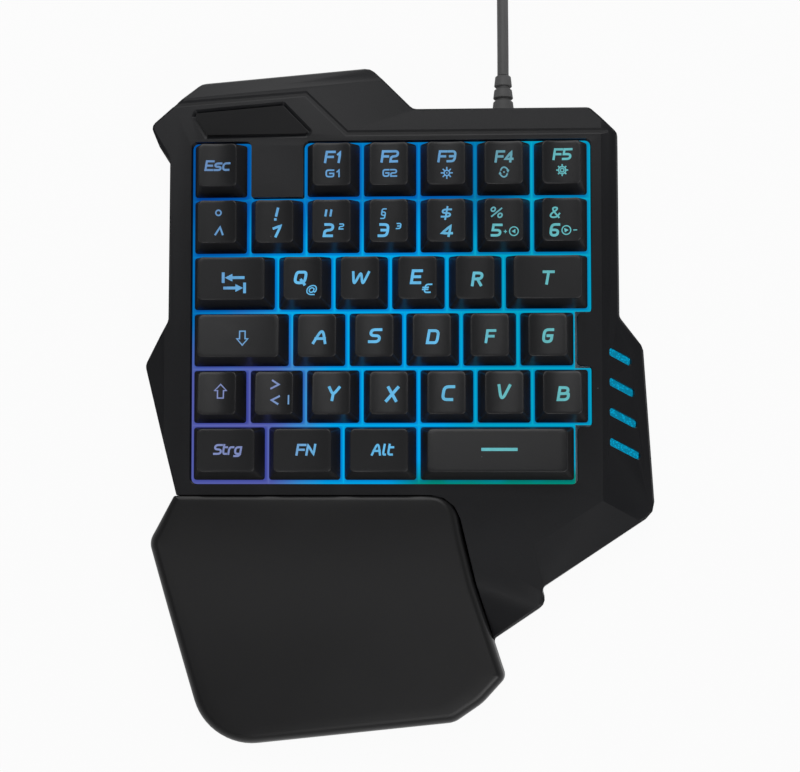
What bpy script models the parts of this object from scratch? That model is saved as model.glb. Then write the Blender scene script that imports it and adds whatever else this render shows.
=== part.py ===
"""A one-handed gaming keypad: case halves, palm rest, 36 sprung keys over a dome sheet, and a cable.

The case frame has its origin under the rear left corner of the key field, with X to the right, Y to
the rear and Z up from the desk. The deck frame starts at the same corner on the deck's surface and is
tilted with it, so the keys, the window, the badge and the groove are placed in deck coordinates.
"""

import math

import bmesh
import bpy
import numpy as np
from mathutils import Euler, Matrix, Vector

MM = 0.001

# Fits shared by all the pieces
GAP = 0.3 * MM
OVERRUN = 3.0 * MM
ARC_STEP_DEG = 24.0
LEAST_ROUND_SHARE = 0.2
SHARP_FOLD_DEG = 40.0
FACING_UP_SHARE = 0.5

# Key field
KEY_PITCH = 19.05 * MM
KEY_GAP = 1.4 * MM
KEY_ROWS = (
    (("esc", 1.0), (None, 1.0), ("f1", 1.0), ("f2", 1.0), ("f3", 1.0), ("f4", 1.0), ("f5", 1.0)),
    (("caret", 1.0), ("1", 1.0), ("2", 1.0), ("3", 1.0), ("4", 1.0), ("5", 1.0), ("6", 1.0)),
    (("tab", 1.5), ("q", 1.0), ("w", 1.0), ("e", 1.0), ("r", 1.0), ("t", 1.5)),
    (("caps", 1.75), ("a", 1.0), ("s", 1.0), ("d", 1.0), ("f", 1.0), ("g", 1.0)),
    (("shift", 1.0), ("angle", 1.0), ("y", 1.0), ("x", 1.0), ("c", 1.0), ("v", 1.0), ("b", 1.0)),
    (("ctrl", 4 / 3), ("fn", 4 / 3), ("alt", 4 / 3), ("space", 2.75)),
)
STEPPED_ROW = 2
FIELD_WIDTH = 7 * KEY_PITCH
FIELD_DEPTH = len(KEY_ROWS) * KEY_PITCH

# Keycaps
CAP_HEIGHT = 8.0 * MM
CAP_DROP = 0.5 * MM
CAP_SIDE_TAPER = 2.4 * MM
CAP_REAR_TAPER = 0.7 * MM
CAP_FRONT_TAPER = 2.6 * MM
CAP_SKIRT_ROUND = 1.0 * MM
CAP_TOP_ROUND = 1.6 * MM
CAP_DISH = 0.8 * MM
SPACE_CROWN = 0.3 * MM
CAP_WALL = 1.2 * MM
CAP_ROOF = 1.3 * MM
STEM_SIDE = 6.4 * MM
STEM_REACH = 2.6 * MM
KEY_TRAVEL = 3.5 * MM

# Deck and case walls
DECK_REAR_HEIGHT = 23.0 * MM
DECK_SLOPE_DEG = 3.0
CASE_WALL = 2.2 * MM
CASE_DRAFT_DEG = 5.0
PARTING_HEIGHT = 5.5 * MM
WALL_LEFT = 9.5 * MM
WALL_RIGHT = 11.05 * MM
WALL_REAR = 12.9 * MM
SHARP_ROUND = 1.5 * MM
CORNER_ROUND = 4.0 * MM
EDGE_BREAK = 0.6 * MM

# Rear corner cut on the right, and the raised block at the rear left
REAR_CUT_X = 10.2 * MM
REAR_CUT_Y = 9.1 * MM
BLOCK_REACH = 7.4 * MM
BLOCK_RISE = 14.7 * MM
BLOCK_TILT = 4.9 * MM
BLOCK_WIDTH = 58.6 * MM
BLOCK_SHOULDER = 1.7 * MM
BLOCK_ELBOW_SHARE = 0.056
BLOCK_FOOT_SHARE = 0.046
BLOCK_ROUND = 5.7 * MM
BLOCK_FOLD_SETBACK = 6.6 * MM
BLOCK_FACET_DEG = 28.0

# Right wing, with the slope that carries the lit slots
WING_FOLD = 4.05 * MM
WING_SLOPE_DEG = 22.0
WING_REACH = 11.2 * MM
WING_WAIST = 7.8 * MM
WING_ROUND = 6.5 * MM
WING_START_SHARE = 0.512
WING_SHOULDER_SHARE = 0.599
WING_END_SHARE = 1.085

# Facet at the front right and the apron in front of it
FACET_DEG = 22.0
FACET_FOLD_SHARE = 1.054
FACET_INNER = 19.1 * MM
FACET_DROP = 21.0 * MM
FACET_SIDE_LEAN = 3.4 * MM
FACET_WIDTH = 13.9 * MM
APRON_BEND_DEG = 9.0
APRON_NOSE = 1.3 * MM
APRON_NOSE_DEPTH = 5.3 * MM

# Left wing
LEFT_WING_REACH = 8.0 * MM
LEFT_WING_SLOPE_DEG = 24.0
LEFT_WING_START_SHARE = 0.521
LEFT_WING_CORNER_SHARE = 0.652

# Palm rest, with its corners counter-clockwise
PALM_SETBACK = 4.4 * MM
PALM_WIDTH = 120.3 * MM
PALM_DEPTH = 84.5 * MM
PALM_REACH_LEFT = 14.9 * MM
PALM_SHARES = {
    "rear_right": (0.856, 0.000),
    "rear_left": (0.073, 0.000),
    "left": (0.000, 0.179),
    "front_left": (0.166, 1.000),
    "front": (0.855, 0.892),
    "front_turn": (0.934, 0.815),
    "front_right": (1.000, 0.712),
    "waist": (0.914, 0.342),
}
PALM_ROUNDS = (10.0 * MM, 1.5 * MM, 6.5 * MM, 20.0 * MM, 8.0 * MM, 15.0 * MM, 3.6 * MM, 20.0 * MM)
PALM_JOIN_SHARE = 0.60
PALM_TUCK = 6.0 * MM
PALM_WALL = 2.2 * MM
PALM_EDGE_ROUND = 3.2 * MM
PALM_REAR_ROUND = 0.8 * MM
PALM_REAR_BLEND = 12.0 * MM
PALM_REAR_LIFT = 0.6 * MM
PALM_CROWN = 2.2 * MM
PALM_CROWN_SHIFT_SHARE = 0.8
PALM_CROWN_FADE_SHARE = 0.35
PALM_FRONT_HEIGHT = 10.4 * MM
PALM_RING_SHARES = (0.0, 0.12, 0.38, 1.0)
PALM_INNER_RING_SHARES = (0.32, 0.72)

# Groove, badge and the strip that closes the gap between the first two keys
GROOVE_WIDTH = 2.1 * MM
GROOVE_FLOOR = 0.9 * MM
GROOVE_DEPTH = 1.0 * MM
GROOVE_OFFSET = 3.2 * MM
GROOVE_RISE = 16.8 * MM
GROOVE_TILT = 4.0 * MM
GROOVE_KNEE_SHARE = 0.285
GROOVE_FOOT_SHARE = 0.390
BADGE_RECESS_DEPTH = 1.0 * MM
BADGE_THICKNESS = 0.6 * MM
BADGE_LEFT = -0.8 * MM
BADGE_WIDTH = 42.2 * MM
BADGE_BASE = 1.65 * MM
BADGE_HEIGHT = 12.6 * MM
BADGE_SHARES = ((0.11, 0.00), (0.935, 0.02), (0.99, 0.17), (0.75, 1.00), (0.02, 0.80), (0.00, 0.60))
BADGE_ROUND = 1.2 * MM
BADGE_BEVEL = 1.1 * MM

# Window in the deck, and the rim under its edge
WINDOW_ROUND = 1.8 * MM
RIM_WIDTH = 1.5 * MM

# Key guide plate, dome sheet, membrane and light guide under the keys
PLATE_CLEARANCE = 0.4 * MM
PLATE_THICKNESS = 1.6 * MM
PLATE_MARGIN = 1.6 * MM
PLATE_FRONT_MARGIN = 1.2 * MM
CHIMNEY_WALL = 1.0 * MM
CHIMNEY_CLEARANCE = 1.2 * MM
STEM_CLEARANCE = 0.3 * MM
SHEET_THICKNESS = 0.6 * MM
DOME_BASE_RADIUS = 3.3 * MM
DOME_TOP_RADIUS = 2.0 * MM
DOME_WALL = 0.6 * MM
DOME_SIDES = 6
MEMBRANE_THICKNESS = 0.4 * MM
MEMBRANE_TAIL_WIDTH = 16.0 * MM
MEMBRANE_TAIL_LENGTH = 4.0 * MM
MEMBRANE_TAIL_SHARE = 0.62
LIGHT_GUIDE_THICKNESS = 1.5 * MM
SHEET_ROUND = 2.0 * MM

# Lit slots in the right wing and the lens behind them
SLOT_COUNT = 4
SLOT_PITCH = 10.0 * MM
SLOT_HEIGHT = 2.9 * MM
SLOT_START = 2.7 * MM
SLOT_FIRST_LENGTH = 8.2 * MM
SLOT_GROWTH = 1.0 * MM
SLOT_ROUND = 0.8 * MM
SLOT_SKEW_SHARE = 0.47
SLOT_FIRST_SHARE = 0.605
LENS_SINK = 0.6 * MM
LENS_BACKING = 1.4 * MM
LENS_BORDER = 1.2 * MM

# Wire that keeps the space bar level
WIRE_RADIUS = 0.7 * MM
WIRE_SIDES = 8
BEND_LEAST = math.radians(1.0)
WIRE_ARM = 11.0 * MM
WIRE_SPREAD = 38.0 * MM
WIRE_BAR_OFFSET = 5.6 * MM
WIRE_PIN_HEIGHT = 1.2 * MM
WIRE_PIN_SHIFT = 0.95 * MM
HOOK_WALL = 0.7 * MM
HOOK_WIDTH = 2.4 * MM
CLIP_SPACING = 22.0 * MM
CLIP_WALL = 1.2 * MM

# Case floor, posts, screws and feet
FOOT_STAND = 1.5 * MM
FLOOR_THICKNESS = 2.0 * MM
FLOOR_BEVEL = 2.5 * MM
POST_RADIUS = 3.9 * MM
POST_GAP_HEIGHT = 7.0 * MM
SCREW_BORE_RADIUS = 1.6 * MM
SCREW_HEAD_RADIUS = 2.6 * MM
SCREW_HEAD_HEIGHT = 1.7 * MM
SCREW_LENGTH = 7.2 * MM
SCREW_SEAT_HEIGHT = 4.6 * MM
BOSS_RADIUS = 2.9 * MM
SUPPORT_SIDE = 6.0 * MM
SUPPORT_SHARES = ((0.06, -0.10), (0.94, -0.12), (0.06, -0.90), (0.90, -0.90), (0.50, -0.50), (0.30, -0.50))
FOOT_RADIUS = 5.0 * MM
FOOT_SINK = 0.5 * MM
ROUND_SIDES = 20
FOOT_SPOT_SHARES = {
    "foot_rear_left": ("top", 0.02, 0.03),
    "foot_rear_right": ("top", 0.97, -0.03),
    "foot_front_left": ("palm", 0.235, 0.733),
    "foot_front_right": ("palm", 0.855, 0.760),
}
SCREW_SPOT_SHARES = {
    "screw_rear_left": ("top", 0.20, 0.135),
    "screw_rear_right": ("top", 0.90, 0.044),
    "screw_apron": ("top", 0.80, -1.30),
    "screw_palm": ("palm", 0.456, 0.313),
}

# Controller board
BOARD_WIDTH = 36.0 * MM
BOARD_DEPTH = 20.0 * MM
BOARD_THICKNESS = 1.6 * MM
BOARD_SHARES = (0.70, -0.26)
BOARD_LIFT_SHARE = 0.5
BOARD_PILLAR_SHARE = 0.36

# Cable, its strain relief and its plug
CORD_DIAMETER = 3.9 * MM
RELIEF_SHARE = 0.787
RELIEF_HEIGHT = 10.6 * MM
RELIEF_NECK_RADIUS = 3.0 * MM
RELIEF_FLANGE_RADIUS = 4.4 * MM
RELIEF_FLANGE = 1.5 * MM
RELIEF_BASE_RADIUS = 3.75 * MM
RELIEF_TIP_RADIUS = 2.7 * MM
RELIEF_LENGTH = 12.7 * MM
RELIEF_RIBS = 3
RELIEF_RIB_GAP = 0.9 * MM
RELIEF_RIB_DEPTH = 0.75 * MM
RELIEF_SIDES = 16
CORD_FALL = 42.0 * MM
COIL_BEHIND = 58.7 * MM
COIL_INNER_RADIUS = 13.6 * MM
COIL_STEP = 4.6 * MM
COIL_LAYER_STEP = 4.5 * MM
COIL_TURNS = 9.25
COIL_LOOP_POINTS = 24
COIL_CLIMB_TURNS = 0.5
CORD_POINT_SPACING = 9.0 * MM
TAIL_RUN = 22.0 * MM
TAIL_STRAIGHT = 4.5 * MM
TAIL_STEPS = 5
PLUG_LENGTH = 27.0 * MM
PLUG_WIDTH = 15.6 * MM
PLUG_HEIGHT = 8.6 * MM
PLUG_BEVEL = 1.6 * MM
PLUG_NECK_LENGTH = 6.0 * MM
PLUG_NECK_RADIUS = 3.0 * MM
SHELL_LENGTH = 18.6 * MM
SHELL_SHOWN = 12.2 * MM
SHELL_WIDTH = 12.0 * MM
SHELL_HEIGHT = 4.5 * MM
SHELL_WALL = 0.4 * MM

# Colours, roughness and metallic share of each material
FINISHES = {
    "case_plastic": ((0.028, 0.029, 0.031), 0.55, 0.0),
    "palm_plastic": ((0.024, 0.024, 0.025), 0.62, 0.0),
    "keycap_plastic": ((0.020, 0.020, 0.021), 0.45, 0.0),
    "diffuser_plastic": ((0.55, 0.62, 0.70), 0.40, 0.0),
    "dome_rubber": ((0.60, 0.60, 0.58), 0.70, 0.0),
    "membrane_film": ((0.70, 0.72, 0.74), 0.30, 0.0),
    "clear_acrylic": ((0.75, 0.80, 0.85), 0.10, 0.0),
    "board_laminate": ((0.03, 0.16, 0.06), 0.45, 0.0),
    "badge_plastic": ((0.012, 0.012, 0.013), 0.18, 0.0),
    "spring_steel": ((0.55, 0.56, 0.58), 0.30, 1.0),
    "screw_steel": ((0.20, 0.20, 0.21), 0.35, 1.0),
    "foot_rubber": ((0.018, 0.018, 0.018), 0.85, 0.0),
    "cord_jacket": ((0.035, 0.035, 0.036), 0.60, 0.0),
    "plug_steel": ((0.62, 0.63, 0.65), 0.25, 1.0),
}


# Scene helpers


def material(finish):
    """The Principled material of one finish, made once."""
    found = bpy.data.materials.get(finish)
    if found:
        return found
    colour, roughness, metallic = FINISHES[finish]
    made = bpy.data.materials.new(finish)
    made.use_nodes = True
    shader = made.node_tree.nodes["Principled BSDF"]
    shader.inputs["Base Color"].default_value = (*colour, 1.0)
    shader.inputs["Roughness"].default_value = roughness
    shader.inputs["Metallic"].default_value = metallic
    return made


def frame_empty(name, parent, place, turn=(0.0, 0.0, 0.0)):
    """An empty that carries the pieces placed in one frame."""
    empty = bpy.data.objects.new(name, None)
    bpy.context.scene.collection.objects.link(empty)
    empty.parent = parent
    empty.location = place
    empty.rotation_euler = turn
    return empty


def piece(name, bm, finish, parent, place=(0.0, 0.0, 0.0), turn=(0.0, 0.0, 0.0), smooth_deg=30.0):
    """Turn a closed bmesh into a named object with its material, under its parent."""
    bmesh.ops.recalc_face_normals(bm, faces=bm.faces)
    mesh = bpy.data.meshes.new(name)
    bm.to_mesh(mesh)
    bm.free()
    mesh.materials.append(material(finish))
    return place_mesh(name, mesh, parent, place, turn, smooth_deg)


def place_mesh(name, mesh, parent, place, turn=(0.0, 0.0, 0.0), smooth_deg=30.0):
    """Put a mesh in the scene under its own name."""
    mesh.shade_smooth()
    mesh.set_sharp_from_angle(angle=math.radians(smooth_deg))
    obj = bpy.data.objects.new(name, mesh)
    bpy.context.scene.collection.objects.link(obj)
    obj.parent = parent
    obj.location = place
    obj.rotation_euler = turn
    return obj


def cutter(name, bm, parent, place=(0.0, 0.0, 0.0), turn=(0.0, 0.0, 0.0)):
    """A helper solid, kept as a wire guide and left out of renders."""
    obj = piece(name, bm, "case_plastic", parent, place, turn)
    obj.hide_render = True
    obj.display_type = "WIRE"
    return obj


def combine(obj, other, operation="DIFFERENCE"):
    """Add an exact Boolean with another object."""
    modifier = obj.modifiers.new(other.name, "BOOLEAN")
    modifier.operation = operation
    modifier.solver = "EXACT"
    modifier.use_self = True
    modifier.object = other


# Outline helpers: a corner is (x, y, rounding radius), and outlines run counter-clockwise seen from above


def inset_corners(corners, inset):
    """Move every side of an outline inwards by the same amount, keeping its rounds concentric."""
    count = len(corners)
    moved = []
    for i, (x, y, radius) in enumerate(corners):
        here = Vector((x, y))
        before = (here - Vector(corners[i - 1][:2])).normalized()
        after = (Vector(corners[(i + 1) % count][:2]) - here).normalized()
        turn = before.x * after.y - before.y * after.x
        cosine = before.dot(after)
        normal_sum = Vector((-before.y - after.y, before.x + after.x))
        point = here + normal_sum * (inset / (1.0 + cosine))
        kept = radius - inset if turn > 0 else radius + inset
        moved.append((point.x, point.y, max(kept, radius * LEAST_ROUND_SHARE)))
    return moved


def rounded(corners):
    """Points along an outline, with an arc at each corner."""
    count = len(corners)
    points = []
    for i, (x, y, radius) in enumerate(corners):
        here = Vector((x, y))
        before = (here - Vector(corners[i - 1][:2])).normalized()
        after = (Vector(corners[(i + 1) % count][:2]) - here).normalized()
        turn = math.atan2(before.x * after.y - before.y * after.x, before.dot(after))
        steps = max(1, round(abs(math.degrees(turn)) / ARC_STEP_DEG))
        side = 1.0 if turn > 0 else -1.0
        tangent = radius * math.tan(abs(turn) / 2)
        start = here - before * tangent
        centre = start + Vector((-before.y, before.x)) * radius * side
        spoke = start - centre
        for k in range(steps + 1):
            angle = turn * k / steps
            points.append(
                (
                    centre.x + spoke.x * math.cos(angle) - spoke.y * math.sin(angle),
                    centre.y + spoke.x * math.sin(angle) + spoke.y * math.cos(angle),
                )
            )
    return points


def ring(bm, points, height):
    """Vertices of one loop at one height, or at a height for each point."""
    heights = height if isinstance(height, (list, tuple)) else [height] * len(points)
    return [bm.verts.new((x, y, z)) for (x, y), z in zip(points, heights)]


def bridge(bm, low, high):
    """Side faces between two loops with the same number of points."""
    count = len(low)
    for i in range(count):
        j = (i + 1) % count
        bm.faces.new((low[i], low[j], high[j], high[i]))


def fill_between(bm, *loops):
    """Fill the flat area inside the first loop and outside the others."""
    edges = []
    for loop in loops:
        for i, vert in enumerate(loop):
            other = loop[(i + 1) % len(loop)]
            edge = bm.edges.get((vert, other)) or bm.edges.new((vert, other))
            edges.append(edge)
    bmesh.ops.triangle_fill(bm, use_beauty=True, edges=edges)


def loft(rings):
    """A closed solid through a stack of (points, height) loops, with flat ends."""
    bm = bmesh.new()
    loops = [ring(bm, points, height) for points, height in rings]
    for low, high in zip(loops, loops[1:]):
        bridge(bm, low, high)
    bm.faces.new(list(reversed(loops[0])))
    bm.faces.new(loops[-1])
    return bm


def prism(points, low, high):
    """A straight solid over one outline."""
    return loft([(points, low), (points, high)])


def box(size, centre):
    """A rectangular solid."""
    bm = bmesh.new()
    bmesh.ops.create_cube(bm, size=1.0, matrix=Matrix.Translation(centre) @ Matrix.Diagonal((*size, 1.0)))
    return bm


def tube(radius, low, high, centre, sides=ROUND_SIDES):
    """An upright round bar."""
    return prism(circle(radius, sides, centre), low, high)


def circle(radius, sides, centre=(0.0, 0.0), start=0.0):
    """Points of a regular outline."""
    x, y = centre
    return [
        (
            x + radius * math.cos(start + 2 * math.pi * k / sides),
            y + radius * math.sin(start + 2 * math.pi * k / sides),
        )
        for k in range(sides)
    ]


def rectangle(x0, x1, y0, y1, radius):
    """Corners of a rectangle."""
    return [(x0, y0, radius), (x1, y0, radius), (x1, y1, radius), (x0, y1, radius)]


def join_into(bm, other):
    """Add another bmesh's solid to this one, as a separate body, and free it."""
    mesh = bpy.data.meshes.new("joined")
    bmesh.ops.recalc_face_normals(other, faces=other.faces)
    other.to_mesh(mesh)
    other.free()
    bm.from_mesh(mesh)
    bpy.data.meshes.remove(mesh)


def slice_above(bm, point, normal):
    """Take away what lies beyond a plane, and close the cut."""
    geometry = list(bm.verts) + list(bm.edges) + list(bm.faces)
    cut = bmesh.ops.bisect_plane(bm, geom=geometry, plane_co=point, plane_no=normal, clear_outer=True)
    edges = [e for e in cut["geom_cut"] if isinstance(e, bmesh.types.BMEdge)]
    if edges:
        bmesh.ops.contextual_create(bm, geom=edges)


# Frames


def deck_matrix():
    """From deck coordinates to the case frame."""
    return Matrix.Translation((0.0, 0.0, DECK_REAR_HEIGHT)) @ Euler(
        (math.radians(DECK_SLOPE_DEG), 0.0, 0.0)
    ).to_matrix().to_4x4()


def deck_plane(point, normal, sink=0.0):
    """A plane given in deck coordinates, lowered along its normal, in the case frame."""
    matrix = deck_matrix()
    normal = Vector(normal).normalized()
    place = matrix @ (Vector(point) - normal * sink)
    return place, matrix.to_3x3() @ normal


def wing_frame_turn():
    """Turn of the frame that lies on the right wing's slope."""
    return (0.0, math.radians(WING_SLOPE_DEG), 0.0)


# Outlines of the case in plan


def palm_corners():
    """Corners of the palm rest, counter-clockwise from its rear right."""
    rear = -FIELD_DEPTH - PALM_SETBACK
    return [
        (across * PALM_WIDTH - PALM_REACH_LEFT, rear - along * PALM_DEPTH, radius)
        for (across, along), radius in zip(PALM_SHARES.values(), PALM_ROUNDS)
    ]


def palm_corner(name):
    """One corner of the palm rest, without its rounding."""
    return Vector(palm_corners()[list(PALM_SHARES).index(name)][:2])


def palm_join():
    """Where the apron's edge meets the palm rest's right side."""
    return palm_corner("front_right").lerp(palm_corner("waist"), 1.0 - PALM_JOIN_SHARE)


def facet_corner():
    """Inner end of the fold above the front right facet."""
    return Vector((FIELD_WIDTH - FACET_INNER, -FIELD_DEPTH - FACET_DROP))


def rear_corners():
    """Corners of the case from its rear right to its left wing."""
    left = -WALL_LEFT
    right = FIELD_WIDTH + WALL_RIGHT
    depth = FIELD_DEPTH
    elbow = BLOCK_ELBOW_SHARE * depth
    shoulder_x = BLOCK_SHOULDER
    rear = WALL_REAR + BLOCK_RISE
    slope_foot = shoulder_x + BLOCK_WIDTH + BLOCK_RISE
    return [
        (right, WALL_REAR - REAR_CUT_Y, CORNER_ROUND),
        (right - REAR_CUT_X, WALL_REAR, CORNER_ROUND),
        (slope_foot, WALL_REAR, SHARP_ROUND),
        (shoulder_x + BLOCK_WIDTH, rear, BLOCK_ROUND),
        (shoulder_x, rear - BLOCK_TILT, BLOCK_ROUND),
        (left - BLOCK_REACH, elbow, CORNER_ROUND),
        (left, -BLOCK_FOOT_SHARE * depth, CORNER_ROUND),
        (left, -LEFT_WING_START_SHARE * depth, SHARP_ROUND),
        (left - LEFT_WING_REACH, -LEFT_WING_CORNER_SHARE * depth, CORNER_ROUND),
    ]


def right_corners():
    """Corners of the case from the apron's nose up its right side."""
    right = FIELD_WIDTH + WALL_RIGHT
    depth = FIELD_DEPTH
    facet = facet_corner()
    facet_end = (facet.x + FACET_SIDE_LEAN, facet.y - FACET_WIDTH)
    return [
        (facet_end[0] + APRON_NOSE, facet_end[1] - APRON_NOSE_DEPTH, CORNER_ROUND),
        (facet_end[0], facet_end[1], SHARP_ROUND),
        (right + WING_REACH, -WING_END_SHARE * depth, WING_ROUND),
        (right + WING_WAIST, -WING_SHOULDER_SHARE * depth, CORNER_ROUND),
        (right, -WING_START_SHARE * depth, SHARP_ROUND),
    ]


def case_corners():
    """Corners of the whole case at its parting line, counter-clockwise from the rear right."""
    names = list(PALM_SHARES)
    front = palm_corners()[names.index("left") : names.index("waist")]
    rear_left = (*palm_corner("rear_left"), SHARP_ROUND)
    join = (*palm_join(), SHARP_ROUND)
    return rear_corners() + [rear_left] + front + [join] + right_corners()


def upper_corners():
    """Corners of the upper case, whose two ends are led under the palm rest, where it is cut away."""
    rear, right = rear_corners(), right_corners()
    ends = []
    for last, here in ((rear[-1], palm_corner("rear_left")), (right[0], palm_join())):
        inside = here + (here - Vector(last[:2])).normalized() * PALM_TUCK
        ends.append((inside.x, inside.y, SHARP_ROUND))
    return rear + ends + right


def spot(carrier, across, along):
    """A place in plan, as shares of the key field or of the palm rest."""
    if carrier == "palm":
        return across * PALM_WIDTH - PALM_REACH_LEFT, -FIELD_DEPTH - PALM_SETBACK - along * PALM_DEPTH
    return across * FIELD_WIDTH, along * FIELD_DEPTH


def plan_centre():
    """Middle of the case's outline, which the model's origin lies under."""
    points = rounded(case_corners())
    xs = [p[0] for p in points]
    ys = [p[1] for p in points]
    return (min(xs) + max(xs)) / 2, (min(ys) + max(ys)) / 2


def window_corners(grow=0.0):
    """Corners of the window around the keys, with its steps and the closed strip beside the first key."""
    edge = KEY_GAP / 2 + grow
    right = {row: sum(width for _, width in keys) * KEY_PITCH + edge for row, keys in enumerate(KEY_ROWS)}
    corners = [(-edge, edge, WINDOW_ROUND)]
    corners.append((-edge, -FIELD_DEPTH - edge, WINDOW_ROUND))
    corners.append((right[len(KEY_ROWS) - 1], -FIELD_DEPTH - edge, WINDOW_ROUND))
    for row in range(len(KEY_ROWS) - 1, STEPPED_ROW, -1):
        side = edge if right[row - 1] > right[row] else -edge
        level = -row * KEY_PITCH - side
        corners.append((right[row], level, SHARP_ROUND))
        corners.append((right[row - 1], level, SHARP_ROUND))
    corners.append((right[0], edge, WINDOW_ROUND))
    corners.append((2 * KEY_PITCH - edge, edge, WINDOW_ROUND))
    corners.append((2 * KEY_PITCH - edge, -KEY_PITCH + edge, SHARP_ROUND / 2))
    corners.append((KEY_PITCH + edge, -KEY_PITCH + edge, SHARP_ROUND / 2))
    corners.append((KEY_PITCH + edge, edge, WINDOW_ROUND))
    return corners


def groove_points(width):
    """Strip of the groove that runs from the left edge, round the badge and along the rear."""
    start = (-WALL_LEFT - BLOCK_REACH, GROOVE_RISE - GROOVE_TILT)
    knee = (GROOVE_KNEE_SHARE * FIELD_WIDTH, GROOVE_RISE)
    foot = (GROOVE_FOOT_SHARE * FIELD_WIDTH, GROOVE_OFFSET)
    end = (FIELD_WIDTH + WING_FOLD + WALL_RIGHT, GROOVE_OFFSET)
    path = [Vector(p) for p in (start, knee, foot, end)]
    above, below = [], []
    for i, point in enumerate(path):
        before = (point - path[i - 1]).normalized() if i else (path[1] - point).normalized()
        after = (path[i + 1] - point).normalized() if i + 1 < len(path) else before
        normal = Vector((-before.y - after.y, before.x + after.x)) / (1.0 + before.dot(after))
        above.append(tuple(point + normal * width / 2))
        below.append(tuple(point - normal * width / 2))
    return below + above[::-1]


def flared(floor, rim, depth):
    """A cutter with sloped sides: one outline at a depth, another at the surface and on above it."""
    beyond = 1.0 + OVERRUN / depth
    above = [tuple(Vector(low).lerp(Vector(high), beyond)) for low, high in zip(floor, rim)]
    return loft([(floor, -depth), (above, OVERRUN)])


def badge_corners(inset=0.0):
    """Corners of the badge recess at the surface, or of its floor with the width of its bevel as inset."""
    corners = [
        (BADGE_LEFT + across * BADGE_WIDTH, BADGE_BASE + up * BADGE_HEIGHT, BADGE_ROUND)
        for across, up in BADGE_SHARES
    ]
    return inset_corners(corners, inset)


# Case halves


def upper_solid(inset, sink):
    """The upper case as one solid, its walls moved in and its roof lowered."""
    corners = upper_corners()
    draft = math.tan(math.radians(CASE_DRAFT_DEG))
    low = PARTING_HEIGHT - (OVERRUN if inset else 0.0)
    high = DECK_REAR_HEIGHT + BLOCK_RISE
    lean_low = (low - PARTING_HEIGHT) * draft
    lean_high = (high - PARTING_HEIGHT) * draft
    bm = loft(
        [
            (rounded(inset_corners(corners, inset + lean_low)), low),
            (rounded(inset_corners(corners, inset + lean_high)), high),
        ]
    )
    wing = math.radians(WING_SLOPE_DEG)
    facet = math.radians(BLOCK_FACET_DEG)
    apron = math.radians(APRON_BEND_DEG)
    tilt = math.atan2(BLOCK_TILT, BLOCK_WIDTH)
    fold_y = WALL_REAR + BLOCK_RISE - BLOCK_FOLD_SETBACK
    fold_x = BLOCK_SHOULDER + BLOCK_WIDTH
    planes = (
        ((0.0, 0.0, 0.0), (0.0, 0.0, 1.0)),
        ((FIELD_WIDTH + WING_FOLD, 0.0, 0.0), (math.sin(wing), 0.0, math.cos(wing))),
        ((0.0, -FIELD_DEPTH - FACET_DROP, 0.0), (0.0, -math.sin(apron), math.cos(apron))),
        (
            (fold_x, fold_y, 0.0),
            (-math.sin(tilt) * math.sin(facet), math.cos(tilt) * math.sin(facet), math.cos(facet)),
        ),
    )
    for point, normal in planes:
        slice_above(bm, *deck_plane(point, normal, sink))
    return bm


def break_edges(bm, width):
    """A small flat along the sharp edges that face up."""
    bm.normal_update()
    edges = []
    for edge in bm.edges:
        if len(edge.link_faces) != 2 or edge.calc_face_angle(0.0) < math.radians(SHARP_FOLD_DEG):
            continue
        normals = [f.normal.z for f in edge.link_faces]
        if max(normals) > FACING_UP_SHARE and min(normals) > -FACING_UP_SHARE:
            edges.append(edge)
    bmesh.ops.bevel(bm, geom=edges, offset=width, segments=1, affect="EDGES", clamp_overlap=True)
    return bm


def facet_wedge(sink):
    """What the front right facet takes off the upper case."""
    inner = facet_corner()
    fold = Vector((FIELD_WIDTH + WING_FOLD, -FACET_FOLD_SHARE * FIELD_DEPTH))
    along = (fold - inner).normalized()
    out = Vector((along.y, -along.x))
    facet = math.radians(FACET_DEG)
    reach = FIELD_WIDTH
    bm = box((reach, reach, reach), (inner.x + reach / 2, inner.y, 0.0))
    place, normal = deck_plane(
        (inner.x, inner.y, 0.0), (out.x * math.sin(facet), out.y * math.sin(facet), math.cos(facet)), sink
    )
    slice_above(bm, place, -normal)
    side = Vector((FACET_WIDTH, FACET_SIDE_LEAN, 0.0)).normalized()
    slice_above(bm, Vector((inner.x, inner.y, 0.0)) - side * sink, -side)
    return bm


def left_wing_wedge(sink):
    """What the left wing's slope takes off the upper case."""
    slope = math.radians(LEFT_WING_SLOPE_DEG)
    reach = FIELD_WIDTH
    rear = -LEFT_WING_START_SHARE * FIELD_DEPTH + CORNER_ROUND
    bm = box((reach, reach, reach), (-WALL_LEFT, rear - reach / 2, 0.0))
    place, normal = deck_plane((-WALL_LEFT, 0.0, 0.0), (-math.sin(slope), 0.0, math.cos(slope)), sink)
    slice_above(bm, place, -normal)
    return bm


def palm_gap_prism(grow):
    """The space that the palm rest takes from the upper case."""
    points = rounded(inset_corners(palm_corners(), -grow))
    return prism(points, 0.0, DECK_REAR_HEIGHT + BLOCK_RISE)


def boss_posts(kind, low, high, radius):
    """Round posts over the screws of one kind."""
    bm = bmesh.new()
    for carrier, across, along in SCREW_SPOT_SHARES.values():
        if carrier == kind or kind == "all":
            join_into(bm, tube(radius, low, high, spot(carrier, across, along)))
    return bm


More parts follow.
